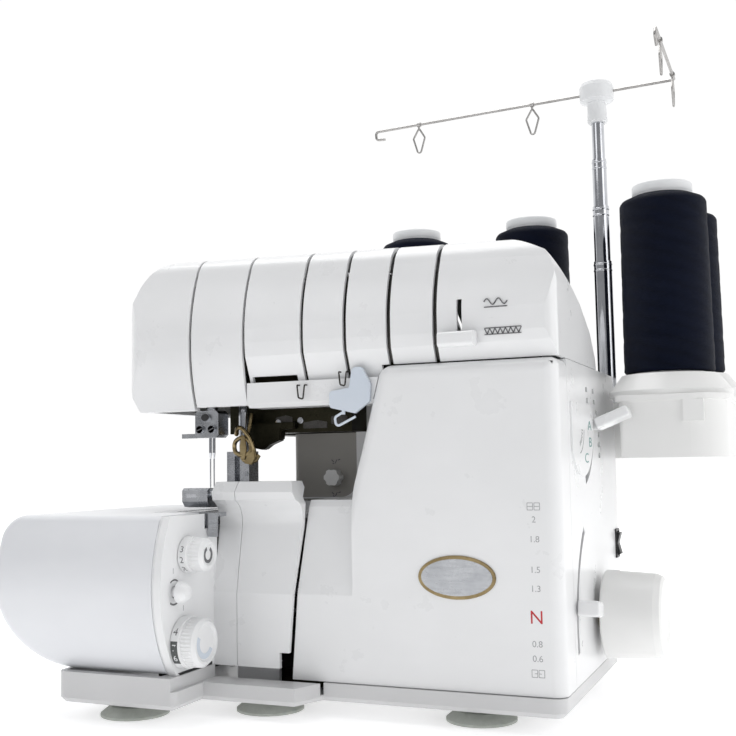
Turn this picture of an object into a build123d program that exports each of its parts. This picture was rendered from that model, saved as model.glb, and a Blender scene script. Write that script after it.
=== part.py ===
"""Household serger (overlock machine) with a four-cone spool stand.

Millimetres, +Z up. Everything is placed from a working datum: x = 0 is the right side of the
tower, y = 0 is the foremost line of the head, z = 0 is the table. main() then moves the whole
machine so that the row origin is the bottom centre of its overall box.
"""
from build123d import *
import math
import os

# ---------------------------------------------------------------- driving dimensions
WALL = 2.5               # moulded covers
SEAM = 0.4               # gap between covers that only meet
RUNNING = 0.05           # radial clearance of a shaft in its bush
LOOSE = 0.5              # clearance round a part that moves through a slot

TOWER_W = 126.0          # tower, left wall to right side
TOWER_TOP_W = 108.0      # the tower's left side leans in to this at its top
TOWER_D = 200.0
TOWER_TOP = 211.0
TOWER_KNEE = 140.0       # height where the left side starts to lean
FRONT_Y = -3.0           # face of the tower's front cover
FRONT_DEPTH = 27.0       # how far that cover wraps back
LEDGE_Z = 129.0          # ledge left of the tower, beside the looper door

HEAD_LEFT = -298.0
HEAD_BOTTOM = 188.0
HEAD_TOP = 284.5         # top of the head at its right end
HEAD_RISE = 9.0          # how much higher its left end is
HEAD_REAR = 192.0
KINK_Z = 221.0           # the right-hand arm covers turn inwards below this
SLOTS = [(-244.2, 2.0), (-203.9, 2.0), (-162.0, 2.4), (-132.3, 2.6), (-103.0, 3.0), (-73.0, 3.0)]

SIDE_LEFT = -347.0
SIDE_RIGHT = -228.0
SIDE_TOP = 122.0
SIDE_BOTTOM = 28.0
SIDE_FRONT = -67.0       # foremost point of the bulging side cover
SIDE_REAR = 100.0
SIDE_FOOT_Z = 27.6      # top of the base pad under the side cover

BASE_BOTTOM = 9.0
BASE_TOP = 20.0
BASE_FLOOR = 13.0        # top of the tray floor
BASE_WALL = 3.0
BED_TOP = 126.0

NEEDLE_X, NEEDLE_Y = -240.0, 21.0
NEEDLE_BAR_R = 4.0
PRESSER_X, PRESSER_Y = -224.0, 36.0
PRESSER_BAR_R = 3.5
LIFT_X, LIFT_Y, LIFT_Z = -218.0, 112.0, 196.0        # presser lifter pivot
LIFT_REST, LIFT_REACH = -30.0, 60.0
PLATE_Z = 122.0          # top of the needle plate

SHAFT_Y, SHAFT_Z, SHAFT_R = 105.0, 52.0, 5.0
BUSH_R = 8.0
WHEEL_R = 28.0
WHEEL_X0, WHEEL_X1 = 4.0, 41.0
MOTOR_Y, MOTOR_Z, MOTOR_R = 150.0, 118.0, 27.0
MAIN_PULLEY_R, MOTOR_PULLEY_R = 24.0, 9.0
BELT_X0, BELT_W, BELT_T = -21.0, 6.0, 2.0
FLANGE = 2.7             # pulley flange width and height above the belt seat

PANEL_FACE = -222.0      # face that carries the two dials
DOOR_LEFT = -205.2
DOOR_SLIDE = 5.0
DOOR_FACE = -7.0
DOOR_T = 2.8
DOOR_BOTTOM, DOOR_TOP = 27.0, 141.0
ROD_Y, ROD_Z, ROD_R = 0.5, 33.0, 1.6
ROD_X0, ROD_X1 = -220.0, -177.3

TRAY_Z0, TRAY_Z1, LID_T, LIP = 152.0, 189.0, 4.0, 2.2
TRAY_LEFT, TRAY_RIGHT = -212.0, 82.0
HOLDER_R, HOLDER_H = 41.0, 15.0
CONE_ROW = TOWER_D + HOLDER_R + 0.5
TRAY_FRONT, TRAY_REAR = 112.0, CONE_ROW + 38.0
WING_LEFT = 15.0
ROW_LIFT = 6.0           # the rear row of cones stands this much higher
CONES = [(-171.0, CONE_ROW, ROW_LIFT), (-71.0, CONE_ROW, ROW_LIFT), (44.0, CONE_ROW, ROW_LIFT), (44.0, 152.0, 0.0)]
CONE_R, CONE_TOP_R, CONE_H = 30.2, 29.2, 132.0
CONE_SHOULDER = 0.905    # share of the height below the shoulder
CORE_R0, CORE_R1, CORE_T = 24.0, 19.4, 1.6
PIN_R, PIN_H = 3.0, 52.0

MAST_X, MAST_Y = -9.0, 212.0
MAST_R = [6.8, 6.1, 5.4, 4.7]        # outer radii, bottom tube first
MAST_TOP = [302.0, 345.0, 382.0, 414.0]
MAST_GAP, MAST_HIDDEN = 0.1, 15.0
BAR_Z, BAR_R = 435.0, 1.1

# ---------------------------------------------------------------- what follows from them
LID_Z = TRAY_Z1 + LID_T
CONE_Z = LID_Z + HOLDER_H
SIDE_MID_Z = 75.0
ROW_X = (SIDE_LEFT + CONES[3][0] + HOLDER_R) / 2
ROW_Y = (SIDE_FRONT + CONES[0][1] + HOLDER_R) / 2


# ---------------------------------------------------------------- small helpers
FEET = [(-262, -34), (-188, 4), (-56, 20), (-262, 160), (-50, 165)]
TRIM_TOP = 204.0
FINGER_GAP = 4.2         # open finger slot above the trim
VENTS = [(82, 196), (104, 196), (84, 189), (107, 189), (114, 182), (120, 168), (120, 161), (120, 154)]
SEL_Y, SEL_Z, SEL_REACH = 60.0, 178.0, 41.0          # stitch selector lever
SEL_REST, SEL_DOWN = -6.0, -70.0                     # its angles from +y
SEL_DISC_R = 37.0
DIFF_REACH = 72.0                                    # differential feed lever
DIFF_REST, DIFF_UP, DIFF_DOWN = 170.0, 133.0, 186.0
SWITCH_Y, SWITCH_Z = 174.0, 92.0
INLET_Y, INLET_Z = 163.0, 48.0
DOOR_RIGHT_LOW, DOOR_RIGHT_HIGH = -170.0, -161.5
PILLAR_X, PILLAR_Y = (-200.0, -136.0), (84.0, 165.0)       # cast pillar inside the grey housing
CHIN_Z = 173.0           # underside of the arm casting
KNOB_X, KNOB_Z = -174.0, 142.0
HINGE_X, HINGE_Y, HINGE_R = -294.0, 108.0, 2.5
PLATE_LEFT, PLATE_RIGHT, PLATE_FRONT, PLATE_REAR = -262.0, -214.5, -14.0, 66.0
DIAL_1 = (-38.0, 98.0, 11.0, 15.5)          # y, z, radius, length
DIAL_2 = (-41.5, 46.5, 15.5, 15.5)
BUTTON = (-52.0, 77.0, 6.5, 7.0)
FEED_X = (-251.0, -246.0, -231.0)
KNUCKLES = [(-203.0, -197.0), (-182.0, -178.0)]
BEARINGS = [(-212.0, -204.0), (-46.0, -36.0)]
NEEDLES_X = (NEEDLE_X - 1.4, NEEDLE_X + 1.4)
KNIFE_Y, KNIFE_Z = 14.0, 96.0
TAB_X = 1.7              # thumb tabs start clear of the wall and its raised disc
WAVE_X = -57.5
BAR_POINTS = [(-195.0, 225.0), (50.0, 207.7), (50.0, 103.0)]
LOOP_W, LOOP_H = 10.5, 20.0


def box(x0, x1, y0, y1, z0, z1):
    return Pos((x0 + x1) / 2, (y0 + y1) / 2, (z0 + z1) / 2) * Box(x1 - x0, y1 - y0, z1 - z0)


def cyl_x(x0, x1, y, z, r):
    return Pos((x0 + x1) / 2, y, z) * Rot(0, 90, 0) * Cylinder(r, x1 - x0)


def cyl_y(x, y0, y1, z, r):
    return Pos(x, (y0 + y1) / 2, z) * Rot(90, 0, 0) * Cylinder(r, y1 - y0)


def cyl_z(x, y, z0, z1, r):
    return Pos(x, y, (z0 + z1) / 2) * Cylinder(r, z1 - z0)


def plane_yz(x):
    """Sketch plane whose x, y are the machine's y, z; extrudes towards +x."""
    return Plane(origin=(x, 0, 0), x_dir=(0, 1, 0), z_dir=(1, 0, 0))


def plane_xz(y):
    """Sketch plane whose x, y are the machine's x, z; extrudes towards -y."""
    return Plane(origin=(0, y, 0), x_dir=(1, 0, 0), z_dir=(0, -1, 0))


def along_x(face, x0, x1):
    return extrude(plane_yz(x0) * face, x1 - x0)


def along_y(face, y0, y1):
    return extrude(plane_xz(y1) * face, y1 - y0)


def along_z(face, z0, z1):
    return extrude(Plane.XY.offset(z0) * face, z1 - z0)


def polygon(*points):
    return make_face(Polyline(*points, close=True))


def rounded(face, corners):
    """The face with each (x, y, radius) corner rounded."""
    for x, y, radius in corners:
        vertex = min(face.vertices(), key=lambda v: (v.X - x) ** 2 + (v.Y - y) ** 2)
        face = fillet(vertex, radius)
    return face


def group(*solids):
    """Separate solids in one node."""
    return Compound(children=[s for item in solids for s in item.solids()])


def turned(profile, x, y):
    """Solid of revolution about the vertical axis at x, y; profile points are (radius, z)."""
    face = make_face(Plane.XZ * Polyline(*profile, close=True))
    return Pos(x, y, 0) * revolve(face, Axis.Z)


def turned_x(profile, y, z):
    """Solid of revolution about the x axis at y, z; profile points are (x, radius)."""
    face = make_face(Polyline(*profile, close=True))
    return Pos(0, y, z) * revolve(face, Axis.X)


def sector_slot(y, z, radius, width, a0, a1, x0, x1):
    """Curved slot through x0..x1: a band round y, z between two angles in degrees."""
    half = math.radians(abs(a1 - a0) / 2)
    mid = math.radians((a0 + a1) / 2)
    reach = radius * 2
    wedge = polygon(
        (0, 0),
        (reach * math.cos(mid - half), reach * math.sin(mid - half)),
        (reach * math.cos(mid), reach * math.sin(mid)),
        (reach * math.cos(mid + half), reach * math.sin(mid + half)),
    )
    band = (Circle(radius + width / 2) - Circle(radius - width / 2)) & wedge
    return along_x(Pos(y, z) * band, x0, x1)


# ---------------------------------------------------------------- base
def base_outline():
    outline = polygon(
        (-303, -58), (-218, -58), (-218, -26), (-156, -26), (-147, -5), (0, -5),
        (0, 158), (-22, TOWER_D), (-303, TOWER_D),
    )
    return rounded(outline, [(-303, -58, 6), (-218, -58, 4), (0, -5, 8), (-303, TOWER_D, 12)])


def base_plate():
    plate = along_z(base_outline(), BASE_BOTTOM, BASE_TOP)
    plate = chamfer(plate.faces().sort_by(Axis.Z)[0].edges(), 3.0)
    plate += along_z(base_outline(), BASE_TOP, SIDE_FOOT_Z) & box(-310, PANEL_FACE + 1, -60, 12, 0, 50)
    bay_front = DOOR_FACE - LOOSE
    pocket = polygon(
        (-300, -52), (-231, -52), (-231, bay_front), (-147, bay_front), (-147, 3), (-BASE_WALL, 3),
        (-BASE_WALL, 156), (-24, TOWER_D - BASE_WALL), (-300, TOWER_D - BASE_WALL),
    )
    return plate - along_z(pocket, BASE_FLOOR, SIDE_FOOT_Z + 1)


def rubber_feet():
    profile = [(0, 0), (21, 0), (21, 1.5), (15, 6), (9, 6.5), (9, BASE_BOTTOM), (0, BASE_BOTTOM)]
    return group(*[turned(profile, x, y) for x, y in FEET])


# ---------------------------------------------------------------- head covers
def head_profile(kinked, top, inset=0.0):
    """Side view of the arm, y and z."""
    front_low, front_mid, front_high = (8, HEAD_BOTTOM), (0, 236), (9, top - 13.5)
    top_front, top_mid, rear_top = (28, top), (128, top - 22.5), (HEAD_REAR, 206)
    edges = [
        ThreePointArc(front_high, (15.5, top - 4), top_front),
        ThreePointArc(top_front, top_mid, rear_top),
        Line(rear_top, (HEAD_REAR, HEAD_BOTTOM)),
    ]
    if kinked:
        kink = (0.85, KINK_Z)
        foot = (15, HEAD_BOTTOM)
        edges += [Line((HEAD_REAR, HEAD_BOTTOM), foot), Line(foot, kink),
                  ThreePointArc(kink, (0.55, 246), front_high)]
    else:
        edges += [Line((HEAD_REAR, HEAD_BOTTOM), front_low),
                  ThreePointArc(front_low, front_mid, front_high)]
    face = make_face(edges)
    return offset(face, amount=-inset, kind=Kind.INTERSECTION) if inset else face


def head_front_view(inset=0.0):
    """Front view of the whole head, x and z: a round left end and a round top right corner."""
    left, high = HEAD_LEFT, HEAD_TOP + HEAD_RISE + 1
    edges = [
        Line((0, HEAD_BOTTOM - 5), (left + 12, HEAD_BOTTOM - 5)),
        ThreePointArc((left + 12, HEAD_BOTTOM - 5), (left, 236), (left + 8, 268)),
        ThreePointArc((left + 8, 268), (left + 17, 284), (left + 36, high)),
        Line((left + 36, high), (-26, HEAD_TOP + 2)),
        ThreePointArc((-26, HEAD_TOP + 2), (-7, HEAD_TOP - 10), (0, HEAD_TOP - 32)),
        Line((0, HEAD_TOP - 32), (0, HEAD_BOTTOM - 5)),
    ]
    face = make_face(edges)
    return offset(face, amount=-inset, kind=Kind.INTERSECTION) if inset else face


def head_plan(inset=0.0):
    """Plan of the head, x and y."""
    outline = polygon((HEAD_LEFT, 0), (0, 0), (0, HEAD_REAR + 5), (HEAD_LEFT, HEAD_REAR + 5))
    outline = rounded(outline, [(HEAD_LEFT, 0, 16), (0, 0, 7), (0, HEAD_REAR + 5, 26),
                                (HEAD_LEFT, HEAD_REAR + 5, 26)])
    return offset(outline, amount=-inset, kind=Kind.INTERSECTION) if inset else outline


def head_corner(inset=0.0):
    """What the sloping rear right corner of the head leaves out, down to the tower's top."""
    line = [(-20, 282), (17, 267.5), (44, 258.5), (72, 249.5), (102, 234), (116, 219), (124, 201)]
    line = [(y - inset * 0.5, z - inset) for y, z in line]
    face = plane_yz(0) * polygon(*line, (260, 201 - inset), (260, 340), (-20, 340))
    return extrude(face, 220, dir=(-0.62, 0.775, 0.1)) + extrude(face, 5, dir=(1, 0, 0))


def head_body(kinked, inset=0.0):
    ends = [plane_yz(x) * head_profile(kinked, top, inset) for x, top in ((HEAD_LEFT, HEAD_TOP + HEAD_RISE), (0, HEAD_TOP))]
    body = loft(ends, ruled=True) - head_corner(inset)
    body &= along_y(head_front_view(inset), -20, HEAD_REAR + 20)
    return body & along_z(head_plan(inset), 100, 320)


def head_shell(kinked):
    """The head's hollow skin, open underneath."""
    inner = head_body(kinked, WALL) + box(HEAD_LEFT + 16, -WALL, 14, HEAD_REAR - 14, 150, HEAD_BOTTOM + 8)
    return head_body(kinked) - inner


def head_slice(shell, x0, x1, z0):
    return shell & box(x0, x1, -50, 300, z0, 320)


def slot_edges(n):
    x, width = SLOTS[n]
    return x - width / 2, x + width / 2


def wave_slot():
    return box(WAVE_X - 1.6, WAVE_X + 1.6, -5, 12, 219.5, 247.5)


def head_covers():
    plain, kinked = head_shell(False), head_shell(True)
    over_tower = TOWER_TOP + SEAM
    trim_top = TRIM_TOP + SEAM
    left_strip = -TOWER_TOP_W - 1.4
    around_cover = along_y(cover_outline(SEAM), -10, FRONT_Y + FRONT_DEPTH + SEAM)
    strips = [
        head_slice(kinked, slot_edges(1)[1], slot_edges(2)[0], TRIM_TOP + FINGER_GAP)
        + head_slice(kinked, slot_edges(1)[1], slot_edges(1)[1] + 2.2, trim_top)
        + head_slice(kinked, slot_edges(2)[0] - 5, slot_edges(2)[0], trim_top),
        head_slice(kinked, slot_edges(2)[1], slot_edges(3)[0], trim_top),
        head_slice(kinked, slot_edges(3)[1], left_strip, trim_top) - around_cover
        + head_slice(kinked, left_strip, slot_edges(4)[0], over_tower),
        head_slice(kinked, slot_edges(4)[1], slot_edges(5)[0], over_tower),
    ]
    return {
        "face_cover": head_slice(plain, HEAD_LEFT - 5, slot_edges(0)[0], 180),
        "needle_cover": head_slice(plain, slot_edges(0)[1], slot_edges(1)[0], HEAD_BOTTOM + 2),
        "arm_covers": group(*strips),
        "lever_cover": head_slice(kinked, slot_edges(5)[1], 5, over_tower) - wave_slot(),
    }


def arm_trim():
    """Lower front bar of the arm, which closes the thread slots underneath."""
    face = polygon((3, HEAD_BOTTOM + 3), (6, HEAD_BOTTOM), (24, HEAD_BOTTOM), (24, HEAD_BOTTOM + WALL),
                   (9, HEAD_BOTTOM + WALL), (9, TRIM_TOP), (3, TRIM_TOP))
    bar = along_x(face, slot_edges(1)[1], -TOWER_TOP_W)
    bar -= along_y(cover_outline(SEAM), -10, 60)
    rest = box(slot_edges(1)[1], slot_edges(2)[0], 9, 24, TRIM_TOP - WALL, TRIM_TOP)
    return bar + rest


def thread_guides():
    """Dark guide plates standing just behind each slot of the head, and two small wire hooks."""
    plates = thread_hooks()
    for x, width in SLOTS:
        over = x > -TOWER_TOP_W
        low = TOWER_TOP + 2 if over else TRIM_TOP + 1
        low = HEAD_BOTTOM + 6 if x < -200 else low
        band = box(x - 3, x + 3, 0, 9.5, low, HEAD_TOP - 8) & head_body(False, WALL + 0.3)
        if x > SLOTS[0][0]:
            band &= head_body(True, WALL + 0.3)
        plates.append(band - head_body(False, WALL + 4.3))
    return group(*plates)


def thread_hooks():
    """Two small wire hooks below the slots."""
    hooks = []
    for x, z in ((SLOTS[2][0] - 0.5, TRIM_TOP - 3), (SLOTS[3][0] - 1.3, TRIM_TOP + 4)):
        path = FilletPolyline((x - 2.6, 2.9, z), (x - 2.6, -0.4, z), (x - 1.6, -0.6, z - 8),
                              (x + 1.6, -0.6, z - 9), (x + 2.6, -0.4, z), (x + 2.6, 2.9, z), radius=0.9)
        section = Plane(origin=path @ 0, z_dir=path % 0) * Circle(0.5)
        hooks.append(sweep(section, path=path))
    return hooks


def thread_arm():
    """White finger plate beside the tower that carries threads to the loopers."""
    face = polygon((-143, 196), (-129.5, 198), (-127.5, 210.5), (-121, 210.5), (-115.5, 200), (-116, 189),
                   (-126, 182), (-143, 186))
    face = rounded(face, [(-143, 196, 2), (-143, 186, 2), (-127.5, 210.5, 3), (-121, 210.5, 3)])
    plate = along_y(face, 0, 2.7)
    hook = FilletPolyline((-134, 1.3, 183.2), (-140, 1.3, 180), (-139, 1.3, 174), (-126, 1.3, 180), radius=2)
    wire = sweep(Plane(origin=hook @ 0, z_dir=hook % 0) * Circle(0.8), path=hook)
    stem = cyl_z(-134, 1.3, 181.5, 185, 1.1)
    return plate + wire + stem


# ---------------------------------------------------------------- tower covers
def tower_front_view(inset=0.0):
    outline = polygon((0, BASE_TOP + SEAM), (0, TOWER_TOP), (-TOWER_TOP_W, TOWER_TOP),
                      (-TOWER_W, TOWER_KNEE), (-TOWER_W, BASE_TOP + SEAM))
    return offset(outline, amount=-inset, kind=Kind.INTERSECTION) if inset else outline


def tower_plan(inset=0.0):
    y0 = FRONT_Y + FRONT_DEPTH + SEAM
    outline = polygon((-TOWER_W, y0), (0, y0), (0, TOWER_D - 18), (-16, TOWER_D), (-TOWER_W, TOWER_D))
    if not inset:
        return outline
    return polygon((-TOWER_W + inset, y0 - 5), (-inset, y0 - 5), (-inset, TOWER_D - 19), (-17, TOWER_D - inset),
                   (-TOWER_W + inset, TOWER_D - inset))


def tower_shell():
    shell = along_y(tower_front_view(), 0, TOWER_D + 10) & along_z(tower_plan(), 0, 300)
    core = along_z(tower_plan(WALL), BASE_TOP - 5, TOWER_TOP - WALL)
    lean = along_y(polygon((5, 20), (5, 230), (-TOWER_TOP_W + WALL - 4.8, 230), (-TOWER_W + WALL, TOWER_KNEE),
                           (-TOWER_W + WALL, 20)), 0, TOWER_D + 10)
    shell = shell - (core & lean)
    margin = 5.0
    shell -= cyl_x(-5, 2, SHAFT_Y, SHAFT_Z, BUSH_R)
    shell -= box(-TOWER_W - 1, -TOWER_W + 5, 30, TOWER_D - 4, 10, BED_TOP - 8)
    shell -= sector_slot(SHAFT_Y, SHAFT_Z, DIFF_REACH, 5.0, DIFF_UP - margin, DIFF_DOWN + margin, -5, 2)
    shell -= sector_slot(SEL_Y, SEL_Z, SEL_REACH, 5.0, SEL_DOWN - margin, SEL_REST + margin, -5, 2)
    for y, z in VENTS:
        shell -= box(-5, 2, y - 3, y + 3, z - 1.6, z + 1.6)
    disc = cyl_x(-1, 1.2, SEL_Y, SEL_Z, SEL_DISC_R)
    disc &= box(-1, 3, FRONT_Y + FRONT_DEPTH + 6, 200, 100, SEL_Z + 8)
    shell += disc + cyl_x(-9.5, -1, SEL_Y, SEL_Z, 4)
    shell -= box(-5, 2, INLET_Y - 13, INLET_Y + 13, INLET_Z - 9, INLET_Z + 9)
    return shell - box(-5, 2, SWITCH_Y - 6, SWITCH_Y + 6, SWITCH_Z - 10, SWITCH_Z + 10)


def cover_outline(grow=0.0):
    """Front view of the tower's front cover."""
    bottom, top = BASE_TOP + SEAM, TOWER_TOP - 0.5
    upper_left = -TOWER_TOP_W - 1.0
    lower_left = -TOWER_W - 2.0
    outline = polygon((0, bottom), (0, top), (upper_left, top), (lower_left, TOWER_KNEE), (lower_left, bottom))
    outline = rounded(outline, [(upper_left, top, 9), (0, top, 5)])
    return offset(outline, amount=grow, kind=Kind.INTERSECTION) if grow else outline


def front_cover():
    depth = FRONT_Y + FRONT_DEPTH
    upper_left = -TOWER_TOP_W - 1.0
    lower_left = -TOWER_W - 2.0
    body = along_y(cover_outline(), FRONT_Y, depth)
    right_edges = [e for e in body.edges().filter_by(lambda e: abs(e.center().Y - FRONT_Y) < 0.01)
                   if abs(e.center().X) < 0.01]
    body = fillet(right_edges, 8.0)
    inner = along_y(polygon((-WALL, 10), (-WALL, TOWER_TOP - 0.5 - WALL), (upper_left + WALL + 2, TOWER_TOP - 0.5 - WALL),
                            (lower_left + WALL + 1, TOWER_KNEE), (lower_left + WALL + 1, 10)),
                    FRONT_Y + WALL, depth + 5)
    return body - inner + ledge_cover()


def ledge_profile(inset=0.0):
    """Side view of the low part beside the looper door."""
    return [(FRONT_Y + inset, BASE_TOP + SEAM), (FRONT_Y + inset, 72), (6.8 + inset, 125 - inset),
            (9.0 + inset, LEDGE_Z - inset)]


def ledge_cover():
    """Low left part of the front cover, which leans back above its crease."""
    depth = FRONT_Y + FRONT_DEPTH
    outer = polygon(*ledge_profile(), (70, LEDGE_Z), (70, LEDGE_Z - WALL), (depth, LEDGE_Z - WALL),
                    (depth, BASE_TOP + SEAM))
    hollow = polygon(*ledge_profile(WALL), (depth + 1, LEDGE_Z - WALL), (depth + 1, 10), (FRONT_Y + WALL, 10))
    left = -161.0
    block = along_x(outer, left - 10, -TOWER_W - 1.9)
    block -= along_x(hollow, left - 20, -TOWER_W - 1.9)
    side = polygon((DOOR_RIGHT_LOW + 0.8, 15), (DOOR_RIGHT_HIGH + 0.8, LEDGE_Z - 2), (DOOR_RIGHT_HIGH + 0.8, LEDGE_Z + 5),
                   (0, LEDGE_Z + 5), (0, 15))
    block &= along_y(side, -30, 100)
    return block


def bed_cover():
    """Fixed bed between the side cover and the tower: a top plate with a left and a rear wall."""
    left, right = SIDE_RIGHT + SEAM + 1.0, -TOWER_W - 2.4
    top = box(left, right, 71, TOWER_D, BED_TOP - WALL, BED_TOP)
    top += box(left, left + 62, 20, 71, PLATE_Z - 5, PLATE_Z - 2.6)
    step = box(left, right, 68.5, 71, PLATE_Z - 5, BED_TOP)
    step -= box(-162, 0, 60, 72, 100, 140)
    left_wall = box(left, left + WALL, 20, TOWER_D, BASE_TOP + SEAM, PLATE_Z - 2.6)
    rear = box(left, right, TOWER_D - WALL, TOWER_D, BASE_TOP + SEAM, BED_TOP)
    shell = top + step + left_wall + rear
    shell -= box(-233, -222, 10, 44, 110, 130)
    shell -= box(PILLAR_X[0] - 1, 0, PILLAR_Y[0] - 1, PILLAR_Y[1] + 1, 100, 140)
    return shell - box(-205, -190, 0, 60, 100, 130)


def pillar_cover():
    """Grey housing of the arm's pillar, behind the looper bay."""
    left, right = -207.0, -TOWER_W - 2.4
    z0, z1 = BED_TOP + SEAM, HEAD_BOTTOM - SEAM
    outline = rounded(polygon((left, 76), (right, 76), (right, TOWER_D - 8), (left, TOWER_D - 8)),
                      [(left, 76, 5), (left, TOWER_D - 8, 10)])
    inner = polygon((left + WALL, 76 + WALL), (right + 5, 76 + WALL), (right + 5, TOWER_D - 8 - WALL),
                    (left + WALL, TOWER_D - 8 - WALL))
    shell = along_z(outline, z0, z1) - along_z(inner, z0 - 1, z1 + 1)
    shell -= box(-250, -149, 40, 152, CHIN_Z - SEAM, z1 + 1)
    return shell - cyl_y(KNOB_X, 70, 82, KNOB_Z, 3.3)


def pressure_knob():
    """Six-lobed adjuster on the pillar."""
    head = cyl_y(KNOB_X, 68, 75.6, KNOB_Z, 5.8)
    for n in range(6):
        angle = math.radians(60 * n + 30)
        head -= cyl_y(KNOB_X + 8.0 * math.cos(angle), 66, 77, KNOB_Z + 8.0 * math.sin(angle), 3.0)
    return head + cyl_y(KNOB_X, 75, 90, KNOB_Z, 3.0)


# ---------------------------------------------------------------- side cover and dials
def side_front_line(inset=0.0):
    """Front of the side cover in side view: a bulge, y against z."""
    return ThreePointArc((-50 + inset, SIDE_BOTTOM), (SIDE_FRONT + inset, SIDE_MID_Z), (-57 + inset, SIDE_TOP))


def side_outer(inset=0.0):
    top, left, low = SIDE_TOP - inset, SIDE_LEFT + inset, SIDE_BOTTOM
    big, small = 50.0 - inset, 16.0 - inset
    front_view = make_face([
        Line((SIDE_RIGHT, low), (SIDE_LEFT + 50, low)),
        Line((SIDE_LEFT + 50, low), (SIDE_LEFT + 50, low + inset)),
        ThreePointArc((SIDE_LEFT + 50, low + inset),
                      (SIDE_LEFT + 50 - big * math.cos(math.pi / 4), low + 50 - big * math.sin(math.pi / 4)),
                      (left, low + 50)),
        Line((left, low + 50), (left, SIDE_TOP - 16)),
        ThreePointArc((left, SIDE_TOP - 16),
                      (SIDE_LEFT + 16 - small * math.cos(math.pi / 4), SIDE_TOP - 16 + small * math.sin(math.pi / 4)),
                      (SIDE_LEFT + 16, top)),
        Line((SIDE_LEFT + 16, top), (SIDE_RIGHT, top)),
        Line((SIDE_RIGHT, top), (SIDE_RIGHT, low)),
    ] if inset else [
        Line((SIDE_RIGHT, low), (SIDE_LEFT + 50, low)),
        ThreePointArc((SIDE_LEFT + 50, low),
                      (SIDE_LEFT + 50 - big * math.cos(math.pi / 4), low + 50 - big * math.sin(math.pi / 4)),
                      (left, low + 50)),
        Line((left, low + 50), (left, SIDE_TOP - 16)),
        ThreePointArc((left, SIDE_TOP - 16),
                      (SIDE_LEFT + 16 - small * math.cos(math.pi / 4), SIDE_TOP - 16 + small * math.sin(math.pi / 4)),
                      (SIDE_LEFT + 16, top)),
        Line((SIDE_LEFT + 16, top), (SIDE_RIGHT, top)),
        Line((SIDE_RIGHT, top), (SIDE_RIGHT, low)),
    ])
    body = along_y(front_view, -100, SIDE_REAR)
    side_view = make_face([
        side_front_line(inset),
        Line((-57 + inset, SIDE_TOP), (SIDE_REAR, SIDE_TOP)),
        Line((SIDE_REAR, SIDE_TOP), (SIDE_REAR, SIDE_BOTTOM)),
        Line((SIDE_REAR, SIDE_BOTTOM), (-50 + inset, SIDE_BOTTOM)),
    ])
    return body & along_x(side_view, SIDE_LEFT, SIDE_RIGHT)


def side_cover():
    outer = side_outer()
    front_edges = [e for e in outer.edges() if e.center().Y < -45 and e.center().X < SIDE_RIGHT - 2]
    outer = fillet(front_edges, 7.0)
    inner = side_outer(WALL) + box(SIDE_LEFT + 50, SIDE_RIGHT + 5, -47, SIDE_REAR + 5, 20, SIDE_BOTTOM + 20)
    inner += box(SIDE_LEFT + 18, SIDE_RIGHT + 5, -45, SIDE_REAR + 5, 60, SIDE_TOP - WALL)
    inner += box(SIDE_RIGHT - 8, SIDE_RIGHT + 5, -60, SIDE_REAR + 5, 40, SIDE_TOP - WALL)
    inner += box(SIDE_LEFT + 8, SIDE_RIGHT + 5, 0, SIDE_REAR + 5, 80, SIDE_TOP - 14)
    shell = outer - inner
    shell -= box(PLATE_LEFT - 0.8, SIDE_RIGHT + 5, PLATE_FRONT - 0.8, SIDE_REAR + 5, SIDE_TOP - 10, SIDE_TOP + 5)
    for z0 in (96.0, 112.0):
        knuckle = cyl_z(HINGE_X, HINGE_Y, z0, z0 + 7, 5.5)
        web = box(HINGE_X - 5, HINGE_X + 5, SIDE_REAR - 14, HINGE_Y, z0, z0 + 7)
        shell += (knuckle + web) - cyl_z(HINGE_X, HINGE_Y, 80, 130, HINGE_R + RUNNING)
    shell += box(HINGE_X - 5, HINGE_X + 5, SIDE_REAR - 14, SIDE_REAR - 8, 96, SIDE_TOP - WALL + 0.5)
    return shell


def side_frame():
    """Bracket on the base: the side cover's hinge pin and the rail under the needle plate."""
    post = box(HINGE_X - 5, HINGE_X + 5, HINGE_Y + 8, HINGE_Y + 16, BASE_FLOOR, 111)
    arm_low = box(HINGE_X - 5, HINGE_X + 5, HINGE_Y, HINGE_Y + 10, 90, 95.5)
    arm_high = box(HINGE_X - 5, HINGE_X + 5, HINGE_Y, HINGE_Y + 10, 104, 111)
    ends = cyl_z(HINGE_X, HINGE_Y, 90, 95.5, 5) + cyl_z(HINGE_X, HINGE_Y, 104, 111, 5)
    pin = cyl_z(HINGE_X, HINGE_Y, 90, 118, HINGE_R)
    rail_x0, rail_x1 = PLATE_LEFT + 2, PLATE_LEFT + 6
    rail_top = PLATE_Z - 2.5
    frame = box(rail_x0, rail_x1, -12, -6, BASE_FLOOR, rail_top) + box(rail_x0, rail_x1, 56, 64, BASE_FLOOR, rail_top)
    frame += box(rail_x0, rail_x1, -12, 64, 112, rail_top)
    frame += box(rail_x0, rail_x1, -12, HINGE_Y + 16, BASE_FLOOR, BASE_FLOOR + 4)
    frame += box(HINGE_X - 5, rail_x1, HINGE_Y + 8, HINGE_Y + 16, BASE_FLOOR, BASE_FLOOR + 4)
    return post + arm_low + arm_high + ends + pin + frame


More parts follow.
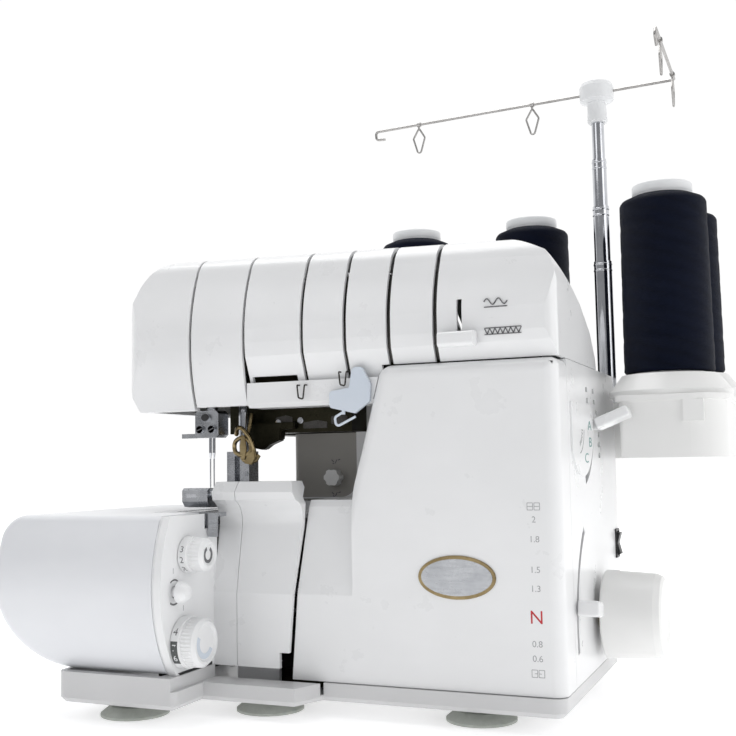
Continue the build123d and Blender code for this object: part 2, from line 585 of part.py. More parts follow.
def dial_panel():
    """Fixed plate at the right of the side cover that carries the dials and the button."""
    foot = SIDE_FOOT_Z
    face = make_face([
        ThreePointArc((-49.3, foot), (SIDE_FRONT + 0.6, SIDE_MID_Z), (-56.3, SIDE_TOP - 0.5)),
        Line((-56.3, SIDE_TOP - 0.5), (-18, SIDE_TOP - 0.5)),
        Line((-18, SIDE_TOP - 0.5), (-18, 112)),
        Line((-18, 112), (-3, 112)),
        Line((-3, 112), (-3, foot)),
        Line((-3, foot), (-49.3, foot)),
    ])
    panel = along_x(face, SIDE_RIGHT + 1, PANEL_FACE)
    for y, z, _, _ in (DIAL_1, DIAL_2, BUTTON):
        panel -= cyl_x(SIDE_RIGHT, PANEL_FACE + 1, y, z, 3.0 + LOOSE)
    return panel + door_jamb()


def ribbed_dial(y, z, radius, length, ribs):
    x0 = PANEL_FACE + SEAM
    x1 = x0 + length
    profile = [(x0, 0), (x0, radius), (x0 + 5.2, radius), (x0 + 5.6, radius - 0.8), (x1 - 2, radius - 1.2),
               (x1, radius - 3), (x1, radius - 4.5), (x1 - 1.2, radius - 5.5), (x1 - 1.2, 0)]
    dial = turned_x(profile, y, z)
    for n in range(ribs):
        angle = 2 * math.pi * n / ribs
        dial -= cyl_x(x0 + 6.5, x1 - 2.2, y + radius * math.cos(angle), z + radius * math.sin(angle), 1.35)
    spindle = cyl_x(SIDE_RIGHT - 4, x0 + 1, y, z, 3.0)
    return dial + spindle


def threading_button():
    y, z, radius, length = BUTTON
    x0 = PANEL_FACE + 4.0
    cap = turned_x([(x0, 0), (x0, radius), (x0 + length - 4, radius - 0.6), (x0 + length - 1, radius - 2.6),
                    (x0 + length, 0)], y, z)
    return cap + cyl_x(SIDE_RIGHT - 4, x0 + 1, y, z, 3.0)


def needle_plate():
    plate = box(PLATE_LEFT, PLATE_RIGHT, PLATE_FRONT, PLATE_REAR, PLATE_Z - 2.5, PLATE_Z)
    plate -= box(PANEL_FACE, PLATE_RIGHT + 1, PLATE_FRONT + 10, 19, PLATE_Z - 5, PLATE_Z + 1)
    plate += box(PANEL_FACE + 1, PANEL_FACE + 7.5, PLATE_FRONT - 2, PLATE_FRONT, PLATE_Z - 15, PLATE_Z)
    for x in FEED_X:
        plate -= box(x - 1.6, x + 1.6, -4, 50, PLATE_Z - 5, PLATE_Z + 1)
    return plate - box(NEEDLE_X - 4, NEEDLE_X + 4, NEEDLE_Y - 2, NEEDLE_Y + 2, PLATE_Z - 5, PLATE_Z + 1)


def feed_dogs():
    """Three toothed feed rows on one carrier under the needle plate."""
    rows = box(-254, -228, 0, 12, 108, 111)
    for x in FEED_X:
        bar = box(x - 1.0, x + 1.0, 0, 46, 108, PLATE_Z + 0.2)
        for n in range(14):
            bar -= Pos(x, 4 + 3.0 * n, PLATE_Z + 0.4) * Rot(45, 0, 0) * Box(4, 1.4, 1.4)
        rows += bar
    rows += box(-254, -228, 36, 46, 108, 111)
    return rows


# ---------------------------------------------------------------- looper door
def door_profile():
    face, inner = DOOR_FACE, DOOR_FACE + DOOR_T
    edges = [
        Line((face, DOOR_BOTTOM), (face, 72)),
        Line((face, 72), (0.5, 113)),
        ThreePointArc((0.5, 113), (-0.8, 122), (-8.5, 129.5)),
        Line((-8.5, 129.5), (-9.5, 134.5)),
        Line((-9.5, 134.5), (-4, DOOR_TOP)),
        Line((-4, DOOR_TOP), (10, DOOR_TOP)),
        Line((10, DOOR_TOP), (10, DOOR_TOP - 4)),
        Line((10, DOOR_TOP - 4), (2.4, 131)),
        Line((2.4, 131), (3.6, 113)),
        Line((3.6, 113), (inner, 72)),
        Line((inner, 72), (inner, DOOR_BOTTOM)),
        Line((inner, DOOR_BOTTOM), (face, DOOR_BOTTOM)),
    ]
    return make_face(edges)


def looper_cover():
    panel = along_x(door_profile(), DOOR_LEFT, -150)
    outline = polygon((DOOR_LEFT, 20), (DOOR_RIGHT_LOW, DOOR_BOTTOM), (DOOR_RIGHT_HIGH, 127),
                      (DOOR_RIGHT_HIGH - 6, DOOR_TOP), (DOOR_LEFT, DOOR_TOP + 5))
    panel &= along_y(outline, -40, 40)
    panel -= box(DOOR_RIGHT_LOW - DOOR_SLIDE - 0.6, 0, -20, 20, 0, ROD_Z + 3.6)
    for x0, x1 in KNUCKLES:
        panel += box(x0, x1, DOOR_FACE + 1, ROD_Y, ROD_Z - 3, ROD_Z + 3) + cyl_x(x0, x1, ROD_Y, ROD_Z, 3)
        panel -= cyl_x(x0 - 1, x1 + 1, ROD_Y, ROD_Z, ROD_R + RUNNING)
    return panel


def door_jamb():
    """Fixed strip between the dials and the looper door, with the lugs of the door's rod."""
    strip = along_x(door_profile(), PANEL_FACE, DOOR_LEFT - SEAM)
    back = ROD_Y + 8
    lug = box(-214, -208, DOOR_FACE + 1, back, ROD_Z - 5, ROD_Z + 4)
    middle = box(-188, -184, ROD_Y - 3, back, ROD_Z - 3, ROD_Z + 3) + box(-214, -184, back, back + 3, BASE_FLOOR, ROD_Z + 3)
    return strip + lug + middle - cyl_x(-216, -180, ROD_Y, ROD_Z, ROD_R + RUNNING)


def looper_rod():
    """Rod that slides in the lugs and carries the door between two collars."""
    rod = cyl_x(ROD_X0, ROD_X1, ROD_Y, ROD_Z, ROD_R)
    left, right = KNUCKLES[0][0], KNUCKLES[-1][1]
    return rod + cyl_x(left - 1.2, left - 0.2, ROD_Y, ROD_Z, 2.4) + cyl_x(right + 0.2, ROD_X1, ROD_Y, ROD_Z, 2.4)


# ---------------------------------------------------------------- machine inside
def bed_casting():
    """Floor plate of the frame with two bearing stands."""
    plate = box(-215, -26, 14, 184, BASE_FLOOR, BASE_FLOOR + 5)
    for x0, x1 in BEARINGS:
        stand = box(x0, x1, SHAFT_Y - 16, SHAFT_Y + 16, BASE_FLOOR + 5, SHAFT_Z + 13)
        plate += stand - cyl_x(x0 - 1, x1 + 1, SHAFT_Y, SHAFT_Z, BUSH_R)
    return plate


def shaft_bushes():
    bushes = []
    for x0, x1 in BEARINGS:
        bushes.append(cyl_x(x0, x1, SHAFT_Y, SHAFT_Z, BUSH_R) - cyl_x(x0 - 1, x1 + 1, SHAFT_Y, SHAFT_Z, SHAFT_R + RUNNING))
    bore = SHAFT_R + RUNNING
    collar = turned_x([(-10.5, bore), (-10.5, 12), (-9.5, 12), (-9.5, BUSH_R), (1.0, BUSH_R), (1.0, bore)],
                      SHAFT_Y, SHAFT_Z)
    return group(*bushes, collar)


def main_shaft():
    shaft = cyl_x(-215, 20, SHAFT_Y, SHAFT_Z, SHAFT_R)
    for x0 in (-196.0, -178.0):
        shaft += cyl_x(x0, x0 + 6, SHAFT_Y + 2, SHAFT_Z, 9)
    return shaft


def pulley(y, z, seat, bore):
    x0, x1 = BELT_X0 - 0.4, BELT_X0 + BELT_W + 0.4
    rim = seat + FLANGE
    profile = [(x0 - FLANGE, bore), (x0 - FLANGE, rim), (x0, rim), (x0, seat), (x1, seat), (x1, rim),
               (x1 + 1.4, rim), (x1 + 1.4, bore)]
    return turned_x(profile, y, z)


def main_pulley():
    wheel = pulley(SHAFT_Y, SHAFT_Z, MAIN_PULLEY_R, SHAFT_R)
    for n in range(5):
        angle = 2 * math.pi * n / 5
        wheel -= cyl_x(-40, 0, SHAFT_Y + 15 * math.cos(angle), SHAFT_Z + 15 * math.sin(angle), 4.2)
    return wheel


def drive_belt():
    def loop(extra):
        big = Pos(SHAFT_Y, SHAFT_Z) * Circle(MAIN_PULLEY_R + extra)
        small = Pos(MOTOR_Y, MOTOR_Z) * Circle(MOTOR_PULLEY_R + extra)
        return make_hull(big.edges() + small.edges())
    return along_x(loop(RUNNING + BELT_T) - loop(RUNNING), BELT_X0, BELT_X0 + BELT_W)


def motor():
    body = cyl_x(-98, -34, MOTOR_Y, MOTOR_Z, MOTOR_R) + cyl_x(-34, -30, MOTOR_Y, MOTOR_Z, 9)
    body += cyl_x(-104, -98, MOTOR_Y, MOTOR_Z, 10)
    body += box(-90, -84, MOTOR_Y - 20, MOTOR_Y + 20, BASE_FLOOR + 5, MOTOR_Z)
    body += box(-48, -42, MOTOR_Y - 12, MOTOR_Y + 20, BASE_FLOOR + 5, MOTOR_Z)
    return body - cyl_x(-60, -20, MOTOR_Y, MOTOR_Z, 3 + RUNNING)


def motor_pulley():
    return pulley(MOTOR_Y, MOTOR_Z, MOTOR_PULLEY_R, 0.5) + cyl_x(-58, BELT_X0, MOTOR_Y, MOTOR_Z, 3.0)


def handwheel():
    x0, x1, r = WHEEL_X0, WHEEL_X1, WHEEL_R
    profile = [(x0, 18), (x0, r - 1), (x0 + 1, r), (x1 - 5, r - 1.6), (x1 - 1.2, r - 3.2), (x1, r - 6), (x1 - 1.4, r - 12),
               (x1 - 1.8, 0), (20, 0), (20, SHAFT_R), (x0, SHAFT_R), (x0, 11), (x1 - 6, 11), (x1 - 6, 18)]
    return turned_x(profile, SHAFT_Y, SHAFT_Z)


def machine_frame():
    """Cast frame: the bed plate, a pillar, the arm beam, and the needle bar's bearing block."""
    (px0, px1), (py0, py1) = PILLAR_X, PILLAR_Y
    beam_z = HEAD_BOTTOM + 28
    pillar = box(px0, px1, py0, py1, BASE_FLOOR + 5, beam_z) - box(px0 + 10, px1 - 10, py0 + 10, py1 - 10, 0, beam_z - 16)
    pillar -= cyl_x(px0 - 5, px1 + 5, SHAFT_Y, SHAFT_Z, 13)
    pillar -= cyl_y(KNOB_X, py0 - 4, py0 + 16, KNOB_Z, 3.3)
    beam = box(-284, -44, 62, 150, beam_z, beam_z + 20)
    chin = box(-243, px0, 50, 150, CHIN_Z, beam_z) + box(-243, -150, 50, py0, CHIN_Z, beam_z)
    chin -= box(LIFT_X - 8, px0 - 2, 70, 151, CHIN_Z - 5, beam_z - 8)
    block = box(-254, -214, 10, 64, beam_z, beam_z + 14)
    guide = box(-250, -214, 12, 52, beam_z + 21, beam_z + 28) + box(-254, -214, 50, 64, beam_z, beam_z + 28)
    frame = bed_casting() + pillar + beam + chin + block + guide + cyl_x(LIFT_X - 9, LIFT_X + 4, LIFT_Y, LIFT_Z, 3)
    frame -= cyl_z(NEEDLE_X, NEEDLE_Y, 160, 280, NEEDLE_BAR_R + RUNNING)
    frame -= cyl_z(PRESSER_X, PRESSER_Y, 160, 280, PRESSER_BAR_R + RUNNING)
    return frame


def needle_bar():
    return cyl_z(NEEDLE_X, NEEDLE_Y, 188, 277, NEEDLE_BAR_R)


def needle_clamp():
    block = box(NEEDLE_X - 9, NEEDLE_X + 9, NEEDLE_Y - 7, NEEDLE_Y + 6, 170, 188)
    block = chamfer(block.edges().filter_by(Axis.Y), 2.0)
    block += cyl_y(NEEDLE_X - 4.5, NEEDLE_Y - 9, NEEDLE_Y - 7, 175.5, 2.5)
    block += cyl_y(NEEDLE_X + 4.5, NEEDLE_Y - 9, NEEDLE_Y - 7, 175.5, 2.5)
    block += cyl_y(NEEDLE_X, NEEDLE_Y - 9, NEEDLE_Y - 7, 183.5, 2.6)
    block += box(NEEDLE_X - 22, NEEDLE_X - 8, NEEDLE_Y - 3, NEEDLE_Y + 3, 170, 173)
    for x in NEEDLES_X:
        block -= cyl_z(x, NEEDLE_Y, 160, 181, 1.0)
    return block


def needles():
    made = []
    for x in NEEDLES_X:
        made.append(turned([(0, 181), (1.0, 181), (1.0, 160), (0.5, 156), (0.45, 138), (0, 133)], x, NEEDLE_Y))
    return group(*made)


def presser_bar():
    return cyl_z(PRESSER_X, PRESSER_Y, PLATE_Z + 38.6, 270, PRESSER_BAR_R) + cyl_z(PRESSER_X, PRESSER_Y, 247, 252, 6)


def presser_foot():
    """Serger foot with an upturned toe, its ankle, and the small knurled screw beside the toe."""
    z = PLATE_Z + 2.6
    toe = polygon((-8, z + 4), (-5, z + 0.6), (0, z), (52, z), (52, z + 4), (34, z + 5), (10, z + 6), (2, z + 12.5),
                  (-6, z + 12.5), (-8, z + 11))
    sole = along_x(toe, NEEDLE_X - 5, NEEDLE_X + 14)
    sole -= box(NEEDLE_X - 4, NEEDLE_X + 4.5, NEEDLE_Y - 3, NEEDLE_Y + 3, 110, 150)
    ankle = box(PRESSER_X - 10, PRESSER_X + 7, PRESSER_Y - 6, PRESSER_Y + 7, z + 3, z + 36)
    ankle -= box(PRESSER_X - 4, PRESSER_X, PRESSER_Y - 16, PRESSER_Y - 1, z + 8, z + 33)
    screw = cyl_x(NEEDLE_X + 14, NEEDLE_X + 17.6, -3, z + 9, 3.4)
    return sole + ankle + screw


def presser_lifter():
    """Hand lever behind the needle area that raises the presser foot."""
    hub = cyl_x(LIFT_X - 3, LIFT_X + 3, LIFT_Y, LIFT_Z, 7)
    arm = box(LIFT_X - 1.5, LIFT_X + 1.5, LIFT_Y - 14, LIFT_Y + LIFT_REACH, LIFT_Z - 3.5, LIFT_Z + 3.5)
    tab = box(LIFT_X - 6, LIFT_X + 6, LIFT_Y + LIFT_REACH - 4, LIFT_Y + LIFT_REACH + 14, LIFT_Z - 3, LIFT_Z + 3)
    tab = fillet(tab.edges().filter_by(Axis.Z), 4)
    lever = (hub + arm + tab).rotate(Axis((0, LIFT_Y, LIFT_Z), (1, 0, 0)), LIFT_REST)
    return lever - cyl_x(LIFT_X - 12, LIFT_X + 12, LIFT_Y, LIFT_Z, 3 + RUNNING)


def upper_looper():
    hub = cyl_y(-178, 24, 32, 62, 6) - cyl_y(-178, 20, 36, 62, 3 + RUNNING)
    arm = along_y(polygon((-181, 66), (-200, 94), (-214, 101), (-220, 99), (-217, 104), (-203, 104), (-196, 99), (-174, 66)),
                  26.5, 29.5)
    return hub + arm - cyl_y(-178, 20, 36, 62, 3 + RUNNING)


def lower_looper():
    hub = cyl_y(-190, 14, 21, 46, 6)
    arm = along_y(polygon((-193, 48), (-206, 80), (-200, 92), (-184, 96), (-183, 93), (-197, 88), (-201, 80), (-187, 50)),
                  16, 19)
    return hub + arm - cyl_y(-190, 10, 24, 46, 3 + RUNNING)


def looper_bracket():
    """Bracket with the pivot studs of both loopers and of the upper knife."""
    plate = box(-219, -168, 40, 46, BASE_FLOOR + 5, 76)
    upper = cyl_y(-178, 22, 42, 62, 3.0) + cyl_y(-178, 32.6, 42, 62, 5)
    lower = cyl_y(-190, 12, 42, 46, 3.0) + cyl_y(-190, 21.6, 42, 46, 5)
    post = box(-221, -216.5, 40, 46, BASE_FLOOR + 5, 98.4) + box(-221, -216.5, 8, 46, 88, 98.4)
    stud = cyl_x(-218, -206, KNIFE_Y, KNIFE_Z, 2.5)
    return plate + upper + lower + post + stud


def upper_knife():
    """Moving cutter behind the looper door."""
    hub = cyl_x(-214, -208, KNIFE_Y, KNIFE_Z, 5)
    blade = along_x(polygon((12, 98), (6, 112), (6, 128), (11, 128), (12, 112), (18, 99)), -213.5, -211)
    return hub + blade - cyl_x(-216, -206, KNIFE_Y, KNIFE_Z, 2.5 + RUNNING)


# ---------------------------------------------------------------- levers on the tower


def lever_tab(y, z, reach, angle, length, height, rise=0.0):
    """Arm inside the tower wall with a thumb tab outside, turned to angle about y, z."""
    hub = cyl_x(-9, -5.5, y, z, 11)
    arm = box(-9, -5.5, y, y + reach, z - 3.5, z + 3.5)
    neck = box(-9, TAB_X + 3, y + reach - 2, y + reach + 2, z - 3, z + 3)
    tab = box(TAB_X, length, y + reach - 7, y + reach + 7, z - height / 2, z + height / 2)
    tab = fillet(tab.edges().filter_by(Axis.X) + tab.faces().sort_by(Axis.X)[-1].edges(), 1.6)
    tab = tab.rotate(Axis((TAB_X, 0, z + height / 2), (0, -1, 0)), rise)
    lever = hub + arm + neck + tab
    return lever.rotate(Axis((0, y, z), (1, 0, 0)), angle)


def differential_lever():
    return lever_tab(SHAFT_Y, SHAFT_Z, DIFF_REACH, DIFF_REST, 14.0, 9.0) - cyl_x(-12, 5, SHAFT_Y, SHAFT_Z, BUSH_R + RUNNING)


def selector_lever():
    lever = lever_tab(SEL_Y, SEL_Z, SEL_REACH, SEL_REST, 24.0, 7.0, rise=22)
    return lever - cyl_x(-12, 0, SEL_Y, SEL_Z, 4 + RUNNING)


def wave_lever():
    bar = box(WAVE_X - 11, WAVE_X + 11, -9.5, -1.2, 218.5, 227.5)
    bar = fillet(bar.edges().filter_by(Axis.X), 2.5)
    return bar + box(WAVE_X - 1.1, WAVE_X + 1.1, -2, 9, 220.5, 226)


def power_inlet():
    """Switch frame and, below it, the two-pin socket for the mains cord."""
    frame_y0, frame_y1 = SWITCH_Y - 6, SWITCH_Y + 6
    bezel = box(-4, 1.2, frame_y0, frame_y1, SWITCH_Z - 10, SWITCH_Z + 10)
    bezel -= box(-6, 2, frame_y0 + 1.5, frame_y1 - 1.5, SWITCH_Z - 8.5, SWITCH_Z + 8.5)
    bezel += cyl_y(-3, frame_y0 + 0.5, frame_y1 - 0.5, SWITCH_Z, 1.2)
    socket = box(-16, 1.2, INLET_Y - 13, INLET_Y + 13, INLET_Z - 9, INLET_Z + 9)
    socket -= box(-13, 2, INLET_Y - 10, INLET_Y + 10, INLET_Z - 6, INLET_Z + 6)
    for pin_y in (INLET_Y - 5, INLET_Y + 5):
        socket += cyl_x(-15, -4, pin_y, INLET_Z, 1.2)
    return group(bezel, socket)


def power_rocker():
    y0, y1 = SWITCH_Y - 4.2, SWITCH_Y + 4.2
    rocker = polygon((-3.8, SWITCH_Z - 3), (-1, SWITCH_Z - 7.6), (3.4, SWITCH_Z - 7.4), (1.4, SWITCH_Z), (3.4, SWITCH_Z + 7.4),
                     (-1, SWITCH_Z + 7.6), (-3.8, SWITCH_Z + 3))
    return along_y(rocker, y0, y1) - cyl_y(-3, y0 - 1, y1 + 1, SWITCH_Z, 1.2 + RUNNING)


# ---------------------------------------------------------------- spool stand
def tray_outline(grow=0.0):
    g = grow
    outline = polygon((WING_LEFT - g, TRAY_FRONT - g), (TRAY_RIGHT + g, TRAY_FRONT - g), (TRAY_RIGHT + g, TRAY_REAR + g),
                      (TRAY_LEFT - g, TRAY_REAR + g), (TRAY_LEFT - g, TOWER_D - g), (WING_LEFT - g, TOWER_D - g))
    return rounded(outline, [(TRAY_RIGHT + g, TRAY_FRONT - g, 22 + g), (WING_LEFT - g, TRAY_FRONT - g, 3),
                             (TRAY_RIGHT + g, TRAY_REAR + g, 20 + g), (TRAY_LEFT - g, TRAY_REAR + g, 20 + g)])


def spool_tray():
    """Hollow L-shaped stand with an overhanging lip, a latch block and the mast socket."""
    body = along_z(tray_outline(), TRAY_Z0, TRAY_Z1)
    lip = along_z(tray_outline(LIP), TRAY_Z1, LID_Z)
    lip -= box(TRAY_LEFT - 5, WING_LEFT - LIP, 150, TOWER_D, 100, 250)
    body -= along_z(offset(tray_outline(), amount=-WALL, kind=Kind.INTERSECTION), TRAY_Z0 - 1, TRAY_Z1)
    body += box(56, 69, TRAY_FRONT - LIP + 0.1, TRAY_FRONT + WALL, TRAY_Z1 - 14, TRAY_Z1)
    boss = cyl_z(MAST_X, MAST_Y, TRAY_Z0 + 2, TRAY_Z1, MAST_R[0] + 3)
    return body + lip + boss - cyl_z(MAST_X, MAST_Y, TRAY_Z0 + 5, LID_Z + 1, MAST_R[0])


def cone_holders():
    """Saucers with a cone-centring boss, one under each cone."""
    holders = []
    for x, y, lift in CONES:
        z, low = LID_Z + lift, LID_Z
        profile = [(PIN_R, low), (HOLDER_R, low), (HOLDER_R, z + 3.5), (CONE_R + 2, z + HOLDER_H), (CONE_R - 9, z + HOLDER_H),
                   (CONE_R - 9, z + 8), (12, z + 8), (8, z + 28), (PIN_R, z + 28)]
        holders.append(turned(profile, x, y))
    return group(*holders)


def spool_pins():
    pins = []
    for x, y, lift in CONES:
        top = LID_Z + lift + 28 + PIN_H
        pins.append(turned([(0, LID_Z), (PIN_R, LID_Z), (PIN_R, top - 3), (PIN_R - 2, top), (0, top)], x, y))
    return group(*pins)


def thread_cone(x, y, lift):
    """Wound thread on its hollow plastic cone."""
    z = CONE_Z + lift + SEAM
    top = z + CONE_H
    shoulder = z + CONE_SHOULDER * CONE_H

    def core_r(height):
        return CORE_R0 + (CORE_R1 - CORE_R0) * (height - z) / CONE_H
    thread = turned([(core_r(z + 1), z + 1), (CONE_R, z + 1), (CONE_TOP_R, shoulder), (CORE_R1 + 1.2, top - 8),
                     (core_r(top - 8), top - 8)], x, y)
    core = turned([(CORE_R0 - CORE_T, z), (CORE_R0, z), (core_r(top - 6), top - 6), (CORE_R1 + 1, top - 6), (CORE_R1 + 1, top),
                   (CORE_R1 - 2.5, top), (core_r(top - 6) - CORE_T, top - 6)], x, y)
    return group(thread, core)


def mast_tube(n):
    """One tube of the telescopic mast, with its crimped rings."""
    outer = MAST_R[n]
    top = MAST_TOP[n]
    bottom = TRAY_Z0 + 5 if n == 0 else MAST_TOP[n - 1] - MAST_HIDDEN
    inner = MAST_R[n + 1] + MAST_GAP if n < 3 else 1.0
    tube = cyl_z(MAST_X, MAST_Y, bottom, top, outer)
    tube -= cyl_z(MAST_X, MAST_Y, bottom + 1, top + 1, inner)
    if n == 0:
        nut = turned([(outer, LID_Z), (10.5, LID_Z), (10.5, LID_Z + 5), (8.5, LID_Z + 9), (outer, LID_Z + 9)], MAST_X, MAST_Y)
        tube += nut
    return tube


def guide_head():
    """Moulded cap on the mast that holds the guide bar."""
    z = MAST_TOP[3] - 3
    profile = [(MAST_R[3] + MAST_GAP, z), (6.6, z), (7.6, z + 1.2), (7.2, 427), (12.6, 428.5), (13, 431), (13, 439), (11.6, 442),
               (7, 444), (0, 444), (0, MAST_TOP[3] + 2), (MAST_R[3] + MAST_GAP, MAST_TOP[3] + 2)]
    cap = turned(profile, MAST_X, MAST_Y)
    return cap - bar_wire()


def bar_point(x):
    """Point of the bar's long run above x."""
    (x0, y0), (x1, y1) = BAR_POINTS[:2]
    x0, y0 = x0 - 5.5, y0 + 0.6
    return x, y0 + (y1 - y0) * (x - x0) / (x1 - x0), BAR_Z


def wire(path, radius):
    return sweep(Plane(origin=path @ 0, z_dir=path % 0) * Circle(radius), path=path)


def bar_wire():
    (xa, ya), (xb, yb), (xc, yc) = BAR_POINTS
    path = FilletPolyline((xa + 3, ya + 0.5, BAR_Z - 7.5), (xa - 5, ya + 0.8, BAR_Z - 7), (xa - 5.5, ya + 0.6, BAR_Z),
                          (xb, yb, BAR_Z), (xc, yc, BAR_Z), (xc, yc - 4, BAR_Z - 6), (xc, yc + 3, BAR_Z - 11), radius=2.6)
    return wire(path, BAR_R)


def guide_bar():
    """Bent wire on the mast cap with four hanging eyelets, two on each run."""
    loops = []
    (xa, ya), (xb, yb) = BAR_POINTS[:2]
    slope = math.degrees(math.atan2(yb - ya - 0.6, xb - xa + 5.5))
    places = [(bar_point(-160), slope), (bar_point(-61), slope), ((xb, 196.0, BAR_Z), 90), ((xb, 126.0, BAR_Z), 90)]
    for (x, y, z), turn in places:
        top = -BAR_R - 3.0
        outline = FilletPolyline((0.6, 0, top), (LOOP_W / 2, 0, top - 0.38 * LOOP_H), (1.4, 0, top - LOOP_H),
                                 (-1.4, 0, top - LOOP_H), (-LOOP_W / 2, 0, top - 0.38 * LOOP_H), (-0.6, 0, top), radius=1.8)
        eye = wire(outline, 0.8)
        neck = cyl_z(0, 0, top - 0.4, -BAR_R - 0.3, 0.9)
        sleeve = cyl_x(-1.5, 1.5, 0, 0, BAR_R + 0.8) - cyl_x(-2, 2, 0, 0, BAR_R)
        loops.append(Pos(x, y, z) * Rot(0, 0, turn) * (eye + neck + sleeve))
    return group(bar_wire(), *loops)


def main():
    os.makedirs("parts", exist_ok=True)
    nodes = {
        "base_plate": base_plate(),
        "rubber_feet": rubber_feet(),
        "arm_trim": arm_trim(),
        "thread_guides": thread_guides(),
        "thread_arm": thread_arm(),
        "tower_shell": tower_shell(),
        "front_cover": front_cover(),
        "bed_cover": bed_cover(),
        "pillar_cover": pillar_cover(),
        "pressure_knob": pressure_knob(),
        "side_cover": side_cover(),
        "side_frame": side_frame(),
        "dial_panel": dial_panel(),
        "stitch_length_dial": ribbed_dial(*DIAL_1, 28),
        "stitch_width_dial": ribbed_dial(*DIAL_2, 40),
        "threading_button": threading_button(),
        "needle_plate": needle_plate(),
        "feed_dogs": feed_dogs(),
        "looper_cover": looper_cover(),
        "looper_rod": looper_rod(),
        "shaft_bushes": shaft_bushes(),
        "main_shaft": main_shaft(),
        "main_pulley": main_pulley(),
        "drive_belt": drive_belt(),
        "motor": motor(),
        "motor_pulley": motor_pulley(),
        "handwheel": handwheel(),
        "machine_frame": machine_frame(),
        "needle_bar": needle_bar(),
        "needle_clamp": needle_clamp(),
        "needles": needles(),
        "presser_bar": presser_bar(),
        "presser_foot": presser_foot(),
        "presser_lifter": presser_lifter(),
        "upper_looper": upper_looper(),
        "lower_looper": lower_looper(),
        "looper_bracket": looper_bracket(),
        "upper_knife": upper_knife(),
        "differential_lever": differential_lever(),
        "selector_lever": selector_lever(),
        "wave_lever": wave_lever(),
        "power_inlet": power_inlet(),
        "power_rocker": power_rocker(),
        "spool_tray": spool_tray(),
        "cone_holders": cone_holders(),
        "spool_pins": spool_pins(),
        "guide_head": guide_head(),
        "guide_bar": guide_bar(),
    }
    nodes.update(head_covers())
    for n in range(4):
        nodes[f"mast_tube_{n + 1}"] = mast_tube(n)
        nodes[f"thread_cone_{n + 1}"] = thread_cone(*CONES[n])
    for name, shape in nodes.items():
        export_step(Pos(-ROW_X, -ROW_Y, 0) * shape, f"parts/{name}.step")
    return nodes


if __name__ == "__main__":
    main()
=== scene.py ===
import math

import bmesh
import bpy
from mathutils import Matrix, Vector


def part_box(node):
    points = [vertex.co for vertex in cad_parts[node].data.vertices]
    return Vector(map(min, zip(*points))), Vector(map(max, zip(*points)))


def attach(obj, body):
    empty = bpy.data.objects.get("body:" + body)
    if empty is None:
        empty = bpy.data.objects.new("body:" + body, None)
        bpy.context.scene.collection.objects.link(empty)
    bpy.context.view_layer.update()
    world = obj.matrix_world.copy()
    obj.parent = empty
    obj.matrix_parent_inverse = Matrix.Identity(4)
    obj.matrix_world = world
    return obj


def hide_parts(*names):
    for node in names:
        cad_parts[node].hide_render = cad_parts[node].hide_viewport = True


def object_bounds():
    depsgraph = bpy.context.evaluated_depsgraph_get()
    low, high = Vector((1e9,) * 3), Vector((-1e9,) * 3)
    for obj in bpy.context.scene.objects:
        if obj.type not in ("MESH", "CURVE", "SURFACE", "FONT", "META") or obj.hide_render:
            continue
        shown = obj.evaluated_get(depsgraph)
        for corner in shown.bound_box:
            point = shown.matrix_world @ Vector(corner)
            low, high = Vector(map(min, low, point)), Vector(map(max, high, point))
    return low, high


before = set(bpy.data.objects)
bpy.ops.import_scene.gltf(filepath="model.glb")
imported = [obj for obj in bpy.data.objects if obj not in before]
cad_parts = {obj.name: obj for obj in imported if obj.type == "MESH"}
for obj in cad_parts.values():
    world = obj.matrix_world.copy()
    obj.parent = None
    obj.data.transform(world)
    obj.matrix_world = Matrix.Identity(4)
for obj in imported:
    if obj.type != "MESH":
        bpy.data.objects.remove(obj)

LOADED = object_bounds()
MM = 0.001

# ------------------------------------------------------------------ datum, read from the CAD
cover_lo, cover_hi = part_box("front_cover")
FACE_DEPTH = 0.003                                    # the tower cover stands this far in front of the arm
DATUM = Vector((cover_hi[0], cover_lo[1] + FACE_DEPTH, 0.0))


def at(x, y, z):
    """A point in millimetres right of, behind and above the tower's right side and the arm's front."""
    return DATUM + Vector((x, y, z)) * MM


